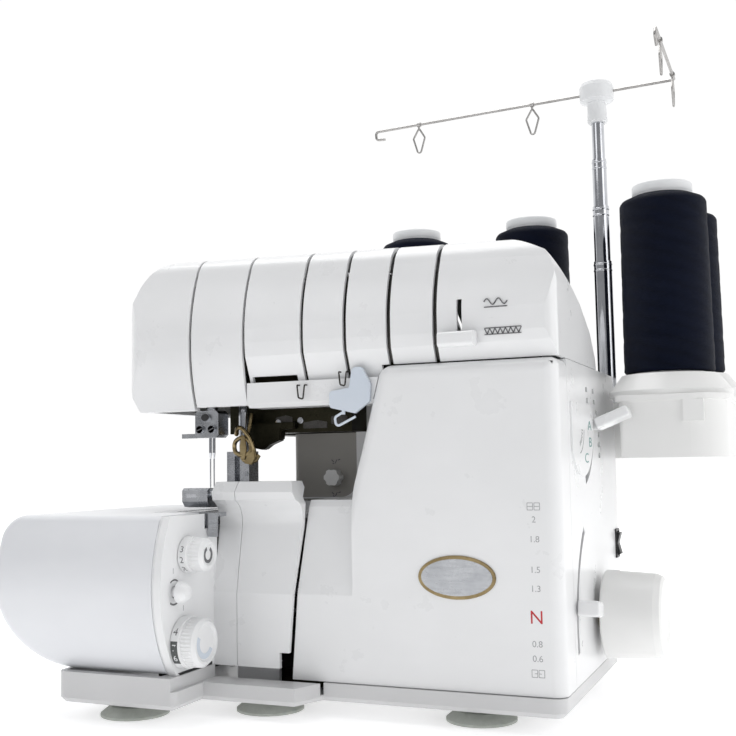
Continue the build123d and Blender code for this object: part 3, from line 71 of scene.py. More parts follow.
# ------------------------------------------------------------------ node material helper
class Shader:
    """A principled material with a few short cuts for procedural textures."""

    def __init__(self, name, **settings):
        self.material = bpy.data.materials.new(name)
        self.material.use_nodes = True
        self.tree = self.material.node_tree
        self.bsdf = self.tree.nodes["Principled BSDF"]
        self.coords = self.tree.nodes.new("ShaderNodeTexCoord").outputs["Object"]
        for key, value in settings.items():
            self.bsdf.inputs[key.replace("_", " ")].default_value = value

    def add(self, kind, **values):
        node = self.tree.nodes.new("ShaderNode" + kind)
        for key, value in values.items():
            if hasattr(node, key):
                setattr(node, key, value)
            else:
                self.feed(node.inputs[key], value)
        return node

    def feed(self, socket, value):
        if isinstance(value, bpy.types.NodeSocket):
            self.tree.links.new(value, socket)
        else:
            socket.default_value = value

    def noise(self, scale, detail=3.0, rough=0.5, coords=None, stretch=None):
        coords = coords or self.coords
        if stretch:
            mapping = self.add("Mapping")
            mapping.inputs["Scale"].default_value = stretch
            self.feed(mapping.inputs["Vector"], coords)
            coords = mapping.outputs["Vector"]
        node = self.add("TexNoise")
        node.inputs["Scale"].default_value = scale
        node.inputs["Detail"].default_value = detail
        node.inputs["Roughness"].default_value = rough
        self.feed(node.inputs["Vector"], coords)
        return node.outputs["Fac"]

    def ramp(self, value, low, high, colours):
        node = self.add("ValToRGB")
        ends = node.color_ramp.elements
        ends[0].position, ends[1].position = low, high
        ends[0].color, ends[1].color = [(*c, 1.0) for c in colours]
        self.feed(node.inputs["Fac"], value)
        return node.outputs["Color"]

    def spread(self, value, low, high, to_low, to_high):
        node = self.add("MapRange")
        for key, number in (("From Min", low), ("From Max", high), ("To Min", to_low), ("To Max", to_high)):
            node.inputs[key].default_value = number
        self.feed(node.inputs["Value"], value)
        return node.outputs["Result"]

    def maths(self, operation, a, b=0.0):
        node = self.add("Math", operation=operation)
        self.feed(node.inputs[0], a)
        self.feed(node.inputs[1], b)
        return node.outputs[0]

    def mix(self, factor, a, b, blend="MIX"):
        node = self.add("Mix", data_type="RGBA", blend_type=blend)
        for key, value in (("Factor", factor), ("A", a), ("B", b)):
            socket = [s for s in node.inputs if s.name == key and s.enabled][0]
            if isinstance(value, tuple):
                value = (*value, 1.0)
            self.feed(socket, value)
        return [s for s in node.outputs if s.enabled][0]

    def colour(self, value):
        self.feed(self.bsdf.inputs["Base Color"], value)

    def rough(self, value):
        self.feed(self.bsdf.inputs["Roughness"], value)

    def bump(self, *heights):
        """Each height is (value, depth in metres, strength)."""
        normal = None
        for value, depth, strength in heights:
            node = self.add("Bump")
            node.inputs["Distance"].default_value = depth
            node.inputs["Strength"].default_value = strength
            self.feed(node.inputs["Height"], value)
            if normal:
                self.feed(node.inputs["Normal"], normal)
            normal = node.outputs["Normal"]
        self.feed(self.bsdf.inputs["Normal"], normal)


def moulded(name, dark, light, rough=(0.26, 0.36), grain=0.12, coat=0.25):
    """Injection-moulded plastic: faint flow marks in the colour, a fine satin grain and soft gloss."""
    s = Shader(name, Coat_Weight=coat, Coat_Roughness=0.12)
    cloud = s.noise(9.0, 4.0, 0.55)
    flow = s.noise(26.0, 2.0, 0.5, stretch=(1.0, 0.25, 3.0))
    s.colour(s.mix(s.spread(flow, 0.3, 0.7, 0.0, 0.35), s.ramp(cloud, 0.3, 0.7, (dark, light)), dark))
    smudge = s.noise(38.0, 5.0, 0.6)
    s.rough(s.spread(smudge, 0.3, 0.75, *rough))
    s.bump((s.noise(1500.0, 2.0), 0.00003, grain), (s.noise(120.0, 2.0), 0.00012, 0.06))
    return s.material


def metal(name, dark, light, rough, brush=None, spots=0.0, aniso=0.0):
    """Bare metal with brushing along one axis, finger marks and small pits."""
    s = Shader(name, Metallic=1.0, Anisotropic=aniso)
    cloud = s.noise(60.0, 4.0, 0.6)
    colour = s.ramp(cloud, 0.3, 0.7, (dark, light))
    lines = s.noise(900.0, 3.0, 0.6, stretch=brush or (1.0, 1.0, 1.0))
    colour = s.mix(s.spread(lines, 0.35, 0.65, 0.0, 0.3), colour, dark)
    if spots:
        pits = s.noise(420.0, 4.0, 0.7)
        colour = s.mix(s.spread(pits, 0.58, 0.7, 0.0, spots), colour, tuple(c * 0.35 for c in dark))
    s.colour(colour)
    s.rough(s.maths("ADD", s.spread(cloud, 0.25, 0.75, *rough), s.spread(lines, 0.3, 0.7, 0.0, 0.08)))
    s.bump((lines, 0.00002, 0.25), (cloud, 0.0001, 0.08))
    return s.material


def rubber(name, dark, light):
    s = Shader(name, Specular_IOR_Level=0.35)
    s.colour(s.ramp(s.noise(80.0, 5.0, 0.65), 0.3, 0.7, (dark, light)))
    s.rough(s.spread(s.noise(200.0, 4.0), 0.3, 0.7, 0.55, 0.8))
    s.bump((s.noise(1400.0, 3.0), 0.00005, 0.4), (s.noise(160.0, 3.0), 0.0001, 0.2))
    return s.material


def print_ink(name, colour, paler):
    s = Shader(name)
    s.colour(s.ramp(s.noise(900.0, 3.0), 0.35, 0.7, (colour, paler)))
    s.rough(s.spread(s.noise(300.0, 3.0), 0.3, 0.7, 0.35, 0.55))
    s.bump((s.noise(2500.0, 2.0), 0.00001, 0.3))
    return s.material


def wound_thread():
    """Cross-wound thread. The mesh's UVs run once round the cone and once up it."""
    s = Shader("wound_thread", Sheen_Weight=0.0, Sheen_Roughness=0.4, Specular_IOR_Level=0.10)
    s.bsdf.inputs["Sheen Tint"].default_value = (0.15, 0.25, 0.6, 1.0)
    uv = s.add("TexCoord").outputs["UV"]
    part = s.add("SeparateXYZ")
    s.feed(part.inputs[0], uv)
    u, v = part.outputs[0], part.outputs[1]
    wobble = s.spread(s.noise(14.0, 3.0, coords=uv), 0.2, 0.8, -0.01, 0.01)
    layers = []
    for turns, pitch in ((3.0, 210.0), (-3.0, 197.0)):
        phase = s.maths("ADD", s.maths("MULTIPLY", u, turns),
                        s.maths("MULTIPLY", s.maths("ADD", v, wobble), pitch))
        layers.append(s.maths("SINE", s.maths("MULTIPLY", phase, 2 * math.pi)))
    strands = s.maths("MAXIMUM", layers[0], layers[1])
    fibre = s.noise(2600.0, 3.0)
    height = s.maths("ADD", strands, s.maths("MULTIPLY", fibre, 0.6))
    base = s.ramp(s.noise(20.0, 3.0), 0.3, 0.7, ((0.0006, 0.0015, 0.0060), (0.0014, 0.0030, 0.0110)))
    # lighter blue on the crests of the strands is a painted highlight (glints) on the thread
    s.colour(s.mix(s.spread(strands, -0.6, 1.0, 0.0, 0.55), base, (0.003, 0.007, 0.024)))
    s.rough(s.spread(fibre, 0.2, 0.8, 0.5, 0.7))
    s.bump((height, 0.00022, 0.75))
    return s.material


WHITE = moulded("white_plastic_gloss", (0.80, 0.805, 0.81), (0.855, 0.858, 0.865))
WHITE_WARM = moulded("white_plastic_warm", (0.81, 0.81, 0.80), (0.87, 0.87, 0.86), rough=(0.3, 0.42))
COOL = moulded("side_cover_plastic", (0.73, 0.742, 0.77), (0.79, 0.80, 0.825), rough=(0.3, 0.4))
# the base plate is the white plastic painted darker: painted shade, not a different plastic
SHADED = moulded("base_plastic_painted_shade", (0.60, 0.60, 0.605), (0.66, 0.66, 0.665), rough=(0.35, 0.5))
GREY = moulded("pillar_grey", (0.34, 0.325, 0.30), (0.41, 0.395, 0.37), rough=(0.4, 0.52), coat=0.05)
PALE = moulded("pale_blue_plastic", (0.60, 0.66, 0.74), (0.70, 0.75, 0.82), rough=(0.2, 0.3))
BLACK = moulded("black_plastic", (0.010, 0.010, 0.011), (0.022, 0.022, 0.024), rough=(0.35, 0.5), coat=0.1)
CONE_WHITE = moulded("cone_plastic", (0.78, 0.79, 0.80), (0.86, 0.87, 0.88), rough=(0.35, 0.5), coat=0.0)
FOOT = rubber("foot_rubber", (0.40, 0.425, 0.385), (0.56, 0.585, 0.54))
BELT = rubber("belt_rubber", (0.012, 0.012, 0.012), (0.03, 0.03, 0.03))
CASTING = metal("oiled_casting", (0.018, 0.017, 0.011), (0.050, 0.046, 0.030), (0.38, 0.6), spots=0.6)
CHROME = metal("polished_chrome", (0.50, 0.51, 0.54), (0.68, 0.69, 0.72), (0.04, 0.10), brush=(1, 1, 0.05))
WIRE = metal("spring_wire", (0.36, 0.35, 0.34), (0.52, 0.51, 0.50), (0.2, 0.34), brush=(0.08, 1, 1))
DARK_STEEL = metal("blackened_steel", (0.05, 0.048, 0.045), (0.11, 0.105, 0.10), (0.3, 0.46), spots=0.4)
STEEL = metal("satin_steel", (0.34, 0.35, 0.37), (0.54, 0.55, 0.57), (0.16, 0.30), brush=(0.1, 1, 1),
              aniso=0.3)
BRONZE = metal("bronze_guides", (0.20, 0.15, 0.075), (0.42, 0.33, 0.18), (0.18, 0.36), brush=(0.2, 1, 1),
               spots=0.5)
ENAMEL = moulded("motor_enamel", (0.05, 0.05, 0.055), (0.09, 0.09, 0.10), rough=(0.3, 0.5), coat=0.2)
INK = print_ink("grey_print", (0.10, 0.10, 0.105), (0.17, 0.17, 0.18))
PALE_INK = print_ink("pale_grey_print", (0.30, 0.30, 0.31), (0.40, 0.40, 0.42))
RED_INK = print_ink("red_print", (0.45, 0.012, 0.02), (0.6, 0.03, 0.04))
TEAL_INK = print_ink("teal_print", (0.03, 0.17, 0.16), (0.06, 0.25, 0.23))
WHITE_INK = print_ink("white_print", (0.72, 0.73, 0.74), (0.85, 0.85, 0.86))
DARK_BAND = print_ink("dark_band_print", (0.05, 0.055, 0.055), (0.09, 0.095, 0.095))
THREAD = wound_thread()

FINISH = {
    "side_cover": COOL, "pillar_cover": GREY, "thread_arm": PALE, "power_rocker": BLACK,
    "power_inlet": BLACK,
    "rubber_feet": FOOT, "pressure_knob": WHITE_WARM, "drive_belt": BELT, "machine_frame": CASTING,
    "motor": ENAMEL, "guide_bar": WIRE,
    "shaft_bushes": BRONZE, "handwheel": WHITE_WARM, "spool_tray": WHITE_WARM, "cone_holders": WHITE_WARM,
    "guide_head": CONE_WHITE, "base_plate": SHADED,
}
for name in ("needle_bar", "presser_bar", "needles", "main_shaft", "looper_rod", "spool_pins",
             "mast_tube_1",
             "mast_tube_2", "mast_tube_3", "mast_tube_4", "main_pulley", "motor_pulley"):
    FINISH[name] = CHROME
for name in ("thread_guides", "looper_bracket", "side_frame"):
    FINISH[name] = DARK_STEEL
for name in ("presser_foot", "needle_clamp", "needle_plate", "feed_dogs", "upper_knife", "upper_looper",
             "lower_looper", "presser_lifter"):
    FINISH[name] = STEEL


def paint(obj, material):
    if not obj.material_slots:
        obj.data.materials.append(material)
    for part in obj.material_slots:
        part.link = "OBJECT"
        part.material = material


def soften(obj, width, segments=3):
    """Small moulded radius on the hard edges of a CAD node, and smooth shading between them."""
    flat = obj.modifiers.new("merge_flats", "DECIMATE")
    flat.decimate_type = "DISSOLVE"
    flat.angle_limit = math.radians(0.4)
    edge = obj.modifiers.new("edge_radius", "BEVEL")
    edge.width = width
    edge.segments = segments
    edge.limit_method = "ANGLE"
    edge.angle_limit = math.radians(32)
    edge.use_clamp_overlap = True
    edge.harden_normals = False
    even = obj.modifiers.new("even_normals", "WEIGHTED_NORMAL")
    even.keep_sharp = True


EDGE = {
    "front_cover": 0.8, "tower_shell": 0.5, "face_cover": 0.7, "needle_cover": 0.7, "arm_covers": 0.5,
    "lever_cover": 0.5,
    "side_cover": 0.8, "bed_cover": 0.8, "pillar_cover": 0.8, "looper_cover": 0.7, "dial_panel": 0.6,
    "base_plate": 0.8,
    "spool_tray": 1.0, "handwheel": 0.0, "arm_trim": 0.7, "cone_holders": 0.6, "guide_head": 0.6,
    "wave_lever": 0.4,
    "presser_foot": 0.35, "needle_clamp": 0.3, "machine_frame": 0.6, "thread_arm": 0.4,
}
for name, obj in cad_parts.items():
    paint(obj, FINISH.get(name, WHITE))
    if EDGE.get(name):
        soften(obj, EDGE[name] * MM)


def new_piece(name, mesh, material, body, smooth=True):
    if smooth:
        for face in mesh.polygons:
            face.use_smooth = True
    obj = bpy.data.objects.new(name, mesh)
    bpy.context.scene.collection.objects.link(obj)
    mesh.materials.append(material)
    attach(obj, body)
    return obj


def lathe(name, profile, centre, material, body, steps=128, close=False):
    """Surface of revolution about a vertical axis through centre; profile is (radius, z) in millimetres."""
    work = bmesh.new()
    uv = work.loops.layers.uv.new("UVMap")
    rings = []
    for radius, z in profile:
        ring = []
        for k in range(steps):
            a = 2 * math.pi * k / steps
            ring.append(work.verts.new(centre + Vector((radius * math.cos(a), radius * math.sin(a),
                                                        z)) * MM))
        rings.append(ring)
    rows = len(rings)
    low, high = profile[0][1], max(z for _, z in profile)
    pairs = list(range(rows - 1)) + ([rows - 1] if close else [])
    for i in pairs:
        j = (i + 1) % rows
        for k in range(steps):
            m = (k + 1) % steps
            face = work.faces.new((rings[i][k], rings[i][m], rings[j][m], rings[j][k]))
            spots = ((k, i), (k + 1, i), (k + 1, j), (k, j))
            for loop, (turn, row) in zip(face.loops, spots):
                loop[uv].uv = (turn / steps, (profile[row][1] - low) / (high - low))
    mesh = bpy.data.meshes.new(name)
    bmesh.ops.recalc_face_normals(work, faces=work.faces)
    work.to_mesh(mesh)
    work.free()
    return new_piece(name, mesh, material, body)


def printed(name, text, size, place, right, up, material, body, align="CENTER", bend=None):
    """Thin printed characters; bend=(centre, radius, angle) wraps them round an axis along right."""
    curve = bpy.data.curves.new(name, "FONT")
    curve.body = text
    curve.size = size * MM
    curve.align_x = align
    curve.align_y = "CENTER"
    curve.extrude = 0.03 * MM
    curve.resolution_u = 6
    holder = bpy.data.objects.new(name + "_outline", curve)
    bpy.context.scene.collection.objects.link(holder)
    bpy.context.view_layer.update()
    mesh = bpy.data.meshes.new_from_object(holder.evaluated_get(bpy.context.evaluated_depsgraph_get()))
    bpy.data.objects.remove(holder)
    right, up = Vector(right), Vector(up)
    out = right.cross(up).normalized()
    for v in mesh.vertices:
        x, y, z = v.co
        if bend:
            centre, radius, start = bend
            angle = start + y / (radius * MM)
            ring = (radius * MM + z)
            v.co = centre + right * x + (out * math.cos(angle) + up * math.sin(angle)) * ring
        else:
            v.co = Vector(place) + right * x + up * y + out * z
    return new_piece(name, mesh, material, body, smooth=False)


def strokes(name, lines, width, plane, material, body, lift=0.04):
    """Flat printed strokes: pairs of points in millimetres on plane = (origin, right, up)."""
    origin, right, up = Vector(plane[0]), Vector(plane[1]), Vector(plane[2])
    out = right.cross(up)
    work = bmesh.new()
    for (x0, y0), (x1, y1) in lines:
        a, b = Vector((x0, y0)), Vector((x1, y1))
        side = (b - a).normalized().orthogonal() * width / 2
        base = [a + side, b + side, b - side, a - side]
        low = [work.verts.new(origin + (right * p.x + up * p.y) * MM) for p in base]
        top = [work.verts.new(origin + (right * p.x + up * p.y + out * lift) * MM) for p in base]
        work.faces.new(top)
        for k in range(4):
            work.faces.new((low[k], low[(k + 1) % 4], top[(k + 1) % 4], top[k]))
    bmesh.ops.recalc_face_normals(work, faces=work.faces)
    mesh = bpy.data.meshes.new(name)
    work.to_mesh(mesh)
    work.free()
    return new_piece(name, mesh, material, body, smooth=False)


# ------------------------------------------------------------------ thread cones
def cone_piece(n):
    node = f"thread_cone_{n}"
    lo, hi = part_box(node)
    centre = Vector(((lo[0] + hi[0]) / 2, (lo[1] + hi[1]) / 2, lo[2]))
    radius = (hi[0] - lo[0]) / 2 / MM
    height = (hi[2] - lo[2]) / MM
    shoulder = 0.905 * height
    top_r = radius - 1.0
    profile = [(24.0, 1.0), (radius - 1.4, 1.0), (radius - 0.5, 1.6), (radius, 2.8)]
    rows = 60
    for k in range(1, rows + 1):
        t = k / rows
        ripple = 0.18 * math.sin(t * 37.0 + n) + 0.10 * math.sin(t * 83.0 + 2 * n)
        profile.append((radius + (top_r - radius) * t + min(ripple, 0.0), 2.8 + (shoulder - 4.0) * t))
    profile += [(top_r - 0.5, shoulder), (top_r - 1.6, shoulder + 1.4), (21.6, height - 8.4),
                (20.8, height - 8.0),
                (19.4, height - 7.9)]
    thread = lathe(f"winding_{n}", profile, centre, THREAD, "machine", steps=160)
    core = [(22.4, 0.0), (23.8, 0.0), (24.0, 0.6), (19.6, height - 7.0), (20.0, height - 6.4),
            (20.4, height - 5.6),
            (20.4, height - 0.8), (19.8, height), (17.4, height), (16.9, height - 0.7),
            (17.0, height - 4.0), (18.0, height - 8.0)]
    tube = lathe(f"cone_core_{n}", core, centre, CONE_WHITE, "machine", close=True)
    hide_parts(node)
    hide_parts(node)


for number in range(1, 5):
    cone_piece(number)

# ------------------------------------------------------------------ things placed on a CAD surface
RIGHT, UP, BACK = Vector((1, 0, 0)), Vector((0, 0, 1)), Vector((0, 1, 0))


def on_face(node, start, direction):
    """Where a line from start first meets a CAD node."""
    hit, place, _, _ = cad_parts[node].ray_cast(Vector(start), Vector(direction))
    return place if hit else Vector(start)


def front_spot(node, x, z):
    return on_face(node, at(x, -90, z), BACK)


def side_spot(node, y, z):
    return on_face(node, at(60, y, z), -RIGHT)


def rod(name, points, radius, material, body, closed=False):
    """Bent round bar through points in millimetres."""
    curve = bpy.data.curves.new(name, "CURVE")
    curve.dimensions = "3D"
    curve.bevel_depth = radius * MM
    curve.bevel_resolution = 4
    curve.use_fill_caps = True
    line = curve.splines.new("BEZIER")
    line.bezier_points.add(len(points) - 1)
    for knot, point in zip(line.bezier_points, points):
        knot.co = at(*point)
        knot.handle_left_type = knot.handle_right_type = "AUTO"
    line.use_cyclic_u = closed
    holder = bpy.data.objects.new(name + "_path", curve)
    bpy.context.scene.collection.objects.link(holder)
    bpy.context.view_layer.update()
    mesh = bpy.data.meshes.new_from_object(holder.evaluated_get(bpy.context.evaluated_depsgraph_get()))
    bpy.data.objects.remove(holder)
    mesh.materials.clear()
    return new_piece(name, mesh, material, body)


SHARP_EDGE = 0.6                                      # radians between faces that gets a bevel


def slab(name, outline, start, across, up, thickness, material, body, edge=0.25):
    """Plate with a bevelled rim: outline in millimetres on the axes across and up from start."""
    across, up = Vector(across), Vector(up)
    out = across.cross(up)
    work = bmesh.new()
    front = [work.verts.new(start + (across * x + up * z) * MM) for x, z in outline]
    back = [work.verts.new(v.co - out * thickness * MM) for v in front]
    work.faces.new(front)
    work.faces.new(back[::-1])
    count = len(outline)
    for k in range(count):
        work.faces.new((front[k], back[k], back[(k + 1) % count], front[(k + 1) % count]))
    bmesh.ops.recalc_face_normals(work, faces=work.faces)
    rim = [e for e in work.edges
           if not e.link_faces or len(e.link_faces) == 2 and e.calc_face_angle(0) > SHARP_EDGE]
    bmesh.ops.bevel(work, geom=rim, offset=edge * MM, segments=2, affect="EDGES", clamp_overlap=True)
    mesh = bpy.data.meshes.new(name)
    work.to_mesh(mesh)
    work.free()
    return new_piece(name, mesh, material, body, smooth=False)


def oval(rx, rz, steps=48):
    return [(rx * math.cos(2 * math.pi * k / steps),
             rz * math.sin(2 * math.pi * k / steps)) for k in range(steps)]


# ------------------------------------------------------------------ printed marks
SCALE_X = -15.5
for text, z, material in (("2", 118.0, PALE_INK), ("1.8", 107.0, PALE_INK), ("1.5", 90.0, PALE_INK),
                          ("1.3", 79.5, PALE_INK),
                          ("N", 63.5, RED_INK), ("0.8", 49.0, PALE_INK), ("0.6", 41.0, PALE_INK)):
    size = 10.5 if text == "N" else 5.0
    printed("scale_" + text, text, size, front_spot("front_cover", SCALE_X, z), RIGHT, UP, material,
            "machine")


def feed_icon(name, z, spread):
    """Two toothed rows side by side, the mark of the feed ratio."""
    lines = []
    for x0 in (-3.6, 0.4):
        lines += [((x0, -2), (x0 + 3.2, -2)), ((x0, 2), (x0 + 3.2, 2)), ((x0, -2), (x0, 2)),
                  ((x0 + 3.2, -2), (x0 + 3.2, 2))]
    lines += [((-3.6 + spread, 0), (-0.4, 0)), ((0.4, 0), (3.6 - spread, 0))]
    strokes(name, lines, 0.35, (front_spot("front_cover", SCALE_X, z), RIGHT, UP), PALE_INK, "machine")


feed_icon("scale_gather", 125.5, 0.0)
feed_icon("scale_stretch", 33.0, 1.6)


def zigzag(count, width, height):
    points = [(-width / 2 + width * k / count, height / 2 * (-1) ** k) for k in range(count + 1)]
    return list(zip(points, points[1:]))


def ripple(width, height, waves):
    steps = 12 * waves
    points = [(-width / 2 + width * k / steps,
               height / 2 * math.sin(2 * math.pi * waves * k / steps)) for k in range(steps + 1)]
    return list(zip(points, points[1:]))


wave_mark = front_spot("lever_cover", -35.0, 244.5)
strokes("mark_wave", ripple(14, 3.6, 2) + [((-7, -3.2), (7, -3.2))], 0.6,
        (wave_mark - BACK * 0.25 * MM, RIGHT, UP), INK,
        "machine", lift=0.5)
lock_mark = front_spot("lever_cover", -31.0, 227.0)
loops = zigzag(14, 22, 3.4) + [((-11, 1.9), (11, 1.9)), ((-11, -1.9), (11, -1.9))]
strokes("mark_overlock", loops, 0.5, (lock_mark - BACK * 0.12 * MM, RIGHT, UP), INK, "machine", lift=0.4)

LETTER_STRETCH = 2.1          # the letters are printed wide, to be read from the operator's seat
for text, y, z in (("A", 83.0, 172.5), ("B", 84.0, 162.0), ("C", 71.0, 152.0)):
    printed("selector_" + text, text, 8.6, side_spot("tower_shell", y, z), BACK * LETTER_STRETCH, UP,
            TEAL_INK, "machine")
arc = []
for k in range(14):
    a0, a1 = math.radians(-8 - 5 * k), math.radians(-8 - 5 * (k + 1))
    arc.append(((17 * math.cos(a0), 17 * math.sin(a0)), (17 * math.cos(a1), 17 * math.sin(a1))))
    if k % 2:
        arc.append(((13 * math.cos(a0), 13 * math.sin(a0)), (10 * math.cos(a0), 10 * math.sin(a0))))
strokes("selector_arc", arc, 0.8, (side_spot("tower_shell", 48, 172), BACK, UP), INK, "machine")

# blank plate on the tower's front
badge = front_spot("front_cover", -61.8, 84.7)
slab("badge_rim", oval(23.6, 12.6), badge - BACK * 0.9 * MM, RIGHT, UP, 0.9, BRONZE, "machine", edge=0.35)
slab("badge_face", oval(21.6, 10.6), badge - BACK * 1.1 * MM, RIGHT, UP, 0.3, STEEL, "machine", edge=0.1)

# black sheet behind the cooling slots, painted shade for the dark inside of the tower, and the rim round
# the dial panel
slab("slot_painted_shade", [(70, 148), (126, 148), (126, 202), (70, 202)], at(-3.2, 0, 0), BACK, UP, 0.6, BLACK,
     "machine", edge=0.1)


def arc_points(a, b, c, steps=24):
    """Points of the circle arc from a through b to c in a plane."""
    (ax, ay), (bx, by), (cx, cy) = a, b, c
    d = 2 * (ax * (by - cy) + bx * (cy - ay) + cx * (ay - by))
    aa, bb, cc = ax * ax + ay * ay, bx * bx + by * by, cx * cx + cy * cy
    ux = (aa * (by - cy) + bb * (cy - ay) + cc * (ay - by)) / d
    uy = (aa * (cx - bx) + bb * (ax - cx) + cc * (bx - ax)) / d
    r = math.hypot(ax - ux, ay - uy)
    start, end = math.atan2(ay - uy, ax - ux), math.atan2(cy - uy, cx - ux)
    if end - start > math.pi:
        end -= 2 * math.pi
    if start - end > math.pi:
        end += 2 * math.pi
    return [(ux + r * math.cos(start + (end - start) * k / steps),
             uy + r * math.sin(start + (end - start) * k / steps))
            for k in range(steps + 1)]


rim = arc_points((-49.8, 28.2), (-66.6, 75.0), (-56.8, 121.8)) + [(-16, 121.6), (-16, 112), (-50, 112)]
rim += arc_points((-50, 112), (-59, 75), (-44, 28.2))
slab("panel_flange", rim, at(-227.1, 0, 0), BACK, UP, 0.8, WHITE, "machine", edge=0.3)
slab("panel_shadow_gap", [(-46, 27.7), (-10, 27.7), (-10, 29.6), (-48, 29.0)], at(-221.5, 0, 0), BACK, UP,
     0.8, BLACK, "machine",
     edge=0.1)

# inner lip of the side cover's open end, following its front
cover_right = (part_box("side_cover")[1][0] - DATUM.x) / MM
lip_front = []
for z in list(range(34, 115, 3)) + [116, 117.5, 119, 120, 120.8]:
    spot = front_spot("side_cover", cover_right - 12, z)
    lip_front.append(((spot.y - DATUM.y) / MM + 0.05, z))
lip = lip_front + [(y + 2.4, z) for y, z in reversed(lip_front)]
slab("side_cover_lip", lip, at(cover_right - 0.15, 0, 0), BACK, UP, 8.2, COOL, "side_door", edge=0.15)

# ------------------------------------------------------------------ dials
def dial_face(node):
    lo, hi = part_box(node)
    return Vector((hi[0], (lo[1] + hi[1]) / 2, (lo[2] + hi[2]) / 2)), (hi[2] - lo[2]) / 2 / MM


def ring_band(name, centre, r0, r1, a0, a1, material, body, lift=0.12):
    """Flat band round a dial's cap, from angle a0 to a1 in degrees."""
    work = bmesh.new()
    steps = 36
    inner, outer = [], []
    for k in range(steps + 1):
        a = math.radians(a0 + (a1 - a0) * k / steps)
        spoke = BACK * math.cos(a) + UP * math.sin(a)
        inner.append(work.verts.new(centre + spoke * r0 * MM + RIGHT * lift * MM))
        outer.append(work.verts.new(centre + spoke * r1 * MM + RIGHT * lift * MM))
    for k in range(steps):
        work.faces.new((inner[k], inner[k + 1], outer[k + 1], outer[k]))
    mesh = bpy.data.meshes.new(name)
    bmesh.ops.recalc_face_normals(work, faces=work.faces)
    solid = bmesh.ops.extrude_face_region(work, geom=list(work.faces))
    for vert in [g for g in solid["geom"] if isinstance(g, bmesh.types.BMVert)]:
        vert.co += RIGHT * 0.08 * MM
    bmesh.ops.recalc_face_normals(work, faces=work.faces)
    work.to_mesh(mesh)
    work.free()
    return new_piece(name, mesh, material, body, smooth=False)


def skirt_band(name, centre, radius, x0, x1, a0, a1, material, body):
    """Printed band round a dial's skirt between two distances behind its cap."""
    work = bmesh.new()
    steps = 24
    rows = []
    for x in (x0, x1):
        for lift in (0.0, 0.05):
            row = []
            for k in range(steps + 1):
                a = math.radians(a0 + (a1 - a0) * k / steps)
                spoke = -BACK * math.cos(a) + UP * math.sin(a)
                row.append(work.verts.new(centre + RIGHT * x * MM + spoke * (radius + lift) * MM))
            rows.append(row)
    for k in range(steps):
        work.faces.new((rows[1][k], rows[1][k + 1], rows[3][k + 1], rows[3][k]))
        work.faces.new((rows[0][k], rows[0][k + 1], rows[1][k + 1], rows[1][k]))
        work.faces.new((rows[2][k], rows[2][k + 1], rows[3][k + 1], rows[3][k]))
    bmesh.ops.recalc_face_normals(work, faces=work.faces)
    mesh = bpy.data.meshes.new(name)
    work.to_mesh(mesh)
    work.free()
    return new_piece(name, mesh, material, body, smooth=False)


for node, body, marks, size, first in (("stitch_length_dial", "length_dial", "32R", 5.4, 20),
                                       ("stitch_width_dial", "width_dial", "4", 6.4, 30)):
    centre, radius = dial_face(node)
    skirt = Vector((centre.x - 12.9 * MM, centre.y, centre.z))
    for k, digit in enumerate(marks):
        angle = math.radians(first - 34 * k)
        printed(f"{node}_{k}", digit, size, None, RIGHT, UP, INK, body, bend=(skirt, radius + 0.01, angle))
centre, radius = dial_face("stitch_length_dial")
ring_band("length_dial_ring", centre - RIGHT * 1.2 * MM, radius - 8.0, radius - 6.0, 110, 420, INK,
          "length_dial")
centre, radius = dial_face("stitch_width_dial")
skirt_band("width_dial_band", centre, radius + 0.02, -15.2, -10.6, 10, -44, DARK_BAND, "width_dial")
skirt = Vector((centre.x - 12.9 * MM, centre.y, centre.z))
for k, digit in enumerate("76"):
    printed(f"width_dial_low_{k}", digit, 5.6, None, RIGHT, UP, WHITE_INK, "width_dial",
            bend=(skirt, radius + 0.09, math.radians(-5 - 24 * k)))
# pale crescent on the width dial's cap: a painted highlight of the cap's D-shaped recess
ring_band("width_dial_painted_highlight", centre - RIGHT * 1.2 * MM, radius - 9.5, radius - 6.2, 150, 330, PALE,
          "width_dial")

lo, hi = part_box("threading_button")
middle = Vector((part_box("dial_panel")[0][0], (lo[1] + hi[1]) / 2, (lo[2] + hi[2]) / 2))
middle.x = side_spot("dial_panel", (middle.y - DATUM.y) / MM - 8.5, (middle.z - DATUM.z) / MM).x
# dark arcs above and below the threading button: painted shade in the gap round it
ring_band("button_painted_shade", middle, 6.7, 7.6, 60, 125, INK, "machine", lift=0.02)
ring_band("button_painted_shade_low", middle, 6.7, 7.8, 235, 300, INK, "machine", lift=0.02)
for n, (y, z) in enumerate(((-53.0, 89.5), (-42.0, 66.5))):
    spot = side_spot("dial_panel", y, z)
    strokes(f"pointer_{n}", [((0, -1.6), (0, 1.6))], 0.5, (spot, BACK, UP), PALE_INK, "machine")

# ------------------------------------------------------------------ under the arm
rod("thread_ring", [(-226.9, 28, 163), (-224, 27, 168.6), (-218, 28, 169.0), (-214.8, 29, 163.6),
                    (-217, 28, 158.6),
                    (-223.5, 27, 158.8)], 1.5, BRONZE, "machine", closed=True)
rod("thread_ring_stem", [(-219, 29, 169), (-217.2, 31, 176), (-216.4, 33, 186)], 1.3, BRONZE, "machine")
rod("take_up_hook", [(-226, 29, 172), (-221.5, 25, 176.5), (-217.0, 26, 173.0), (-213.6, 28, 166),
                     (-212.2, 30, 156.5)], 1.5, BRONZE,
    "machine")
rod("take_up_claw", [(-223, 30, 158), (-218, 27, 154.2), (-212.5, 29, 153.8), (-209.8, 31, 158)], 1.4,
    BRONZE, "machine")
slab("guide_leaf", [(0, 0), (3.2, 0.6), (4.4, 7), (3.6, 15), (0.8, 17), (-0.8, 9)], at(-221.2, 26, 155.0),
     RIGHT, UP, 1.1, BRONZE,
     "machine")
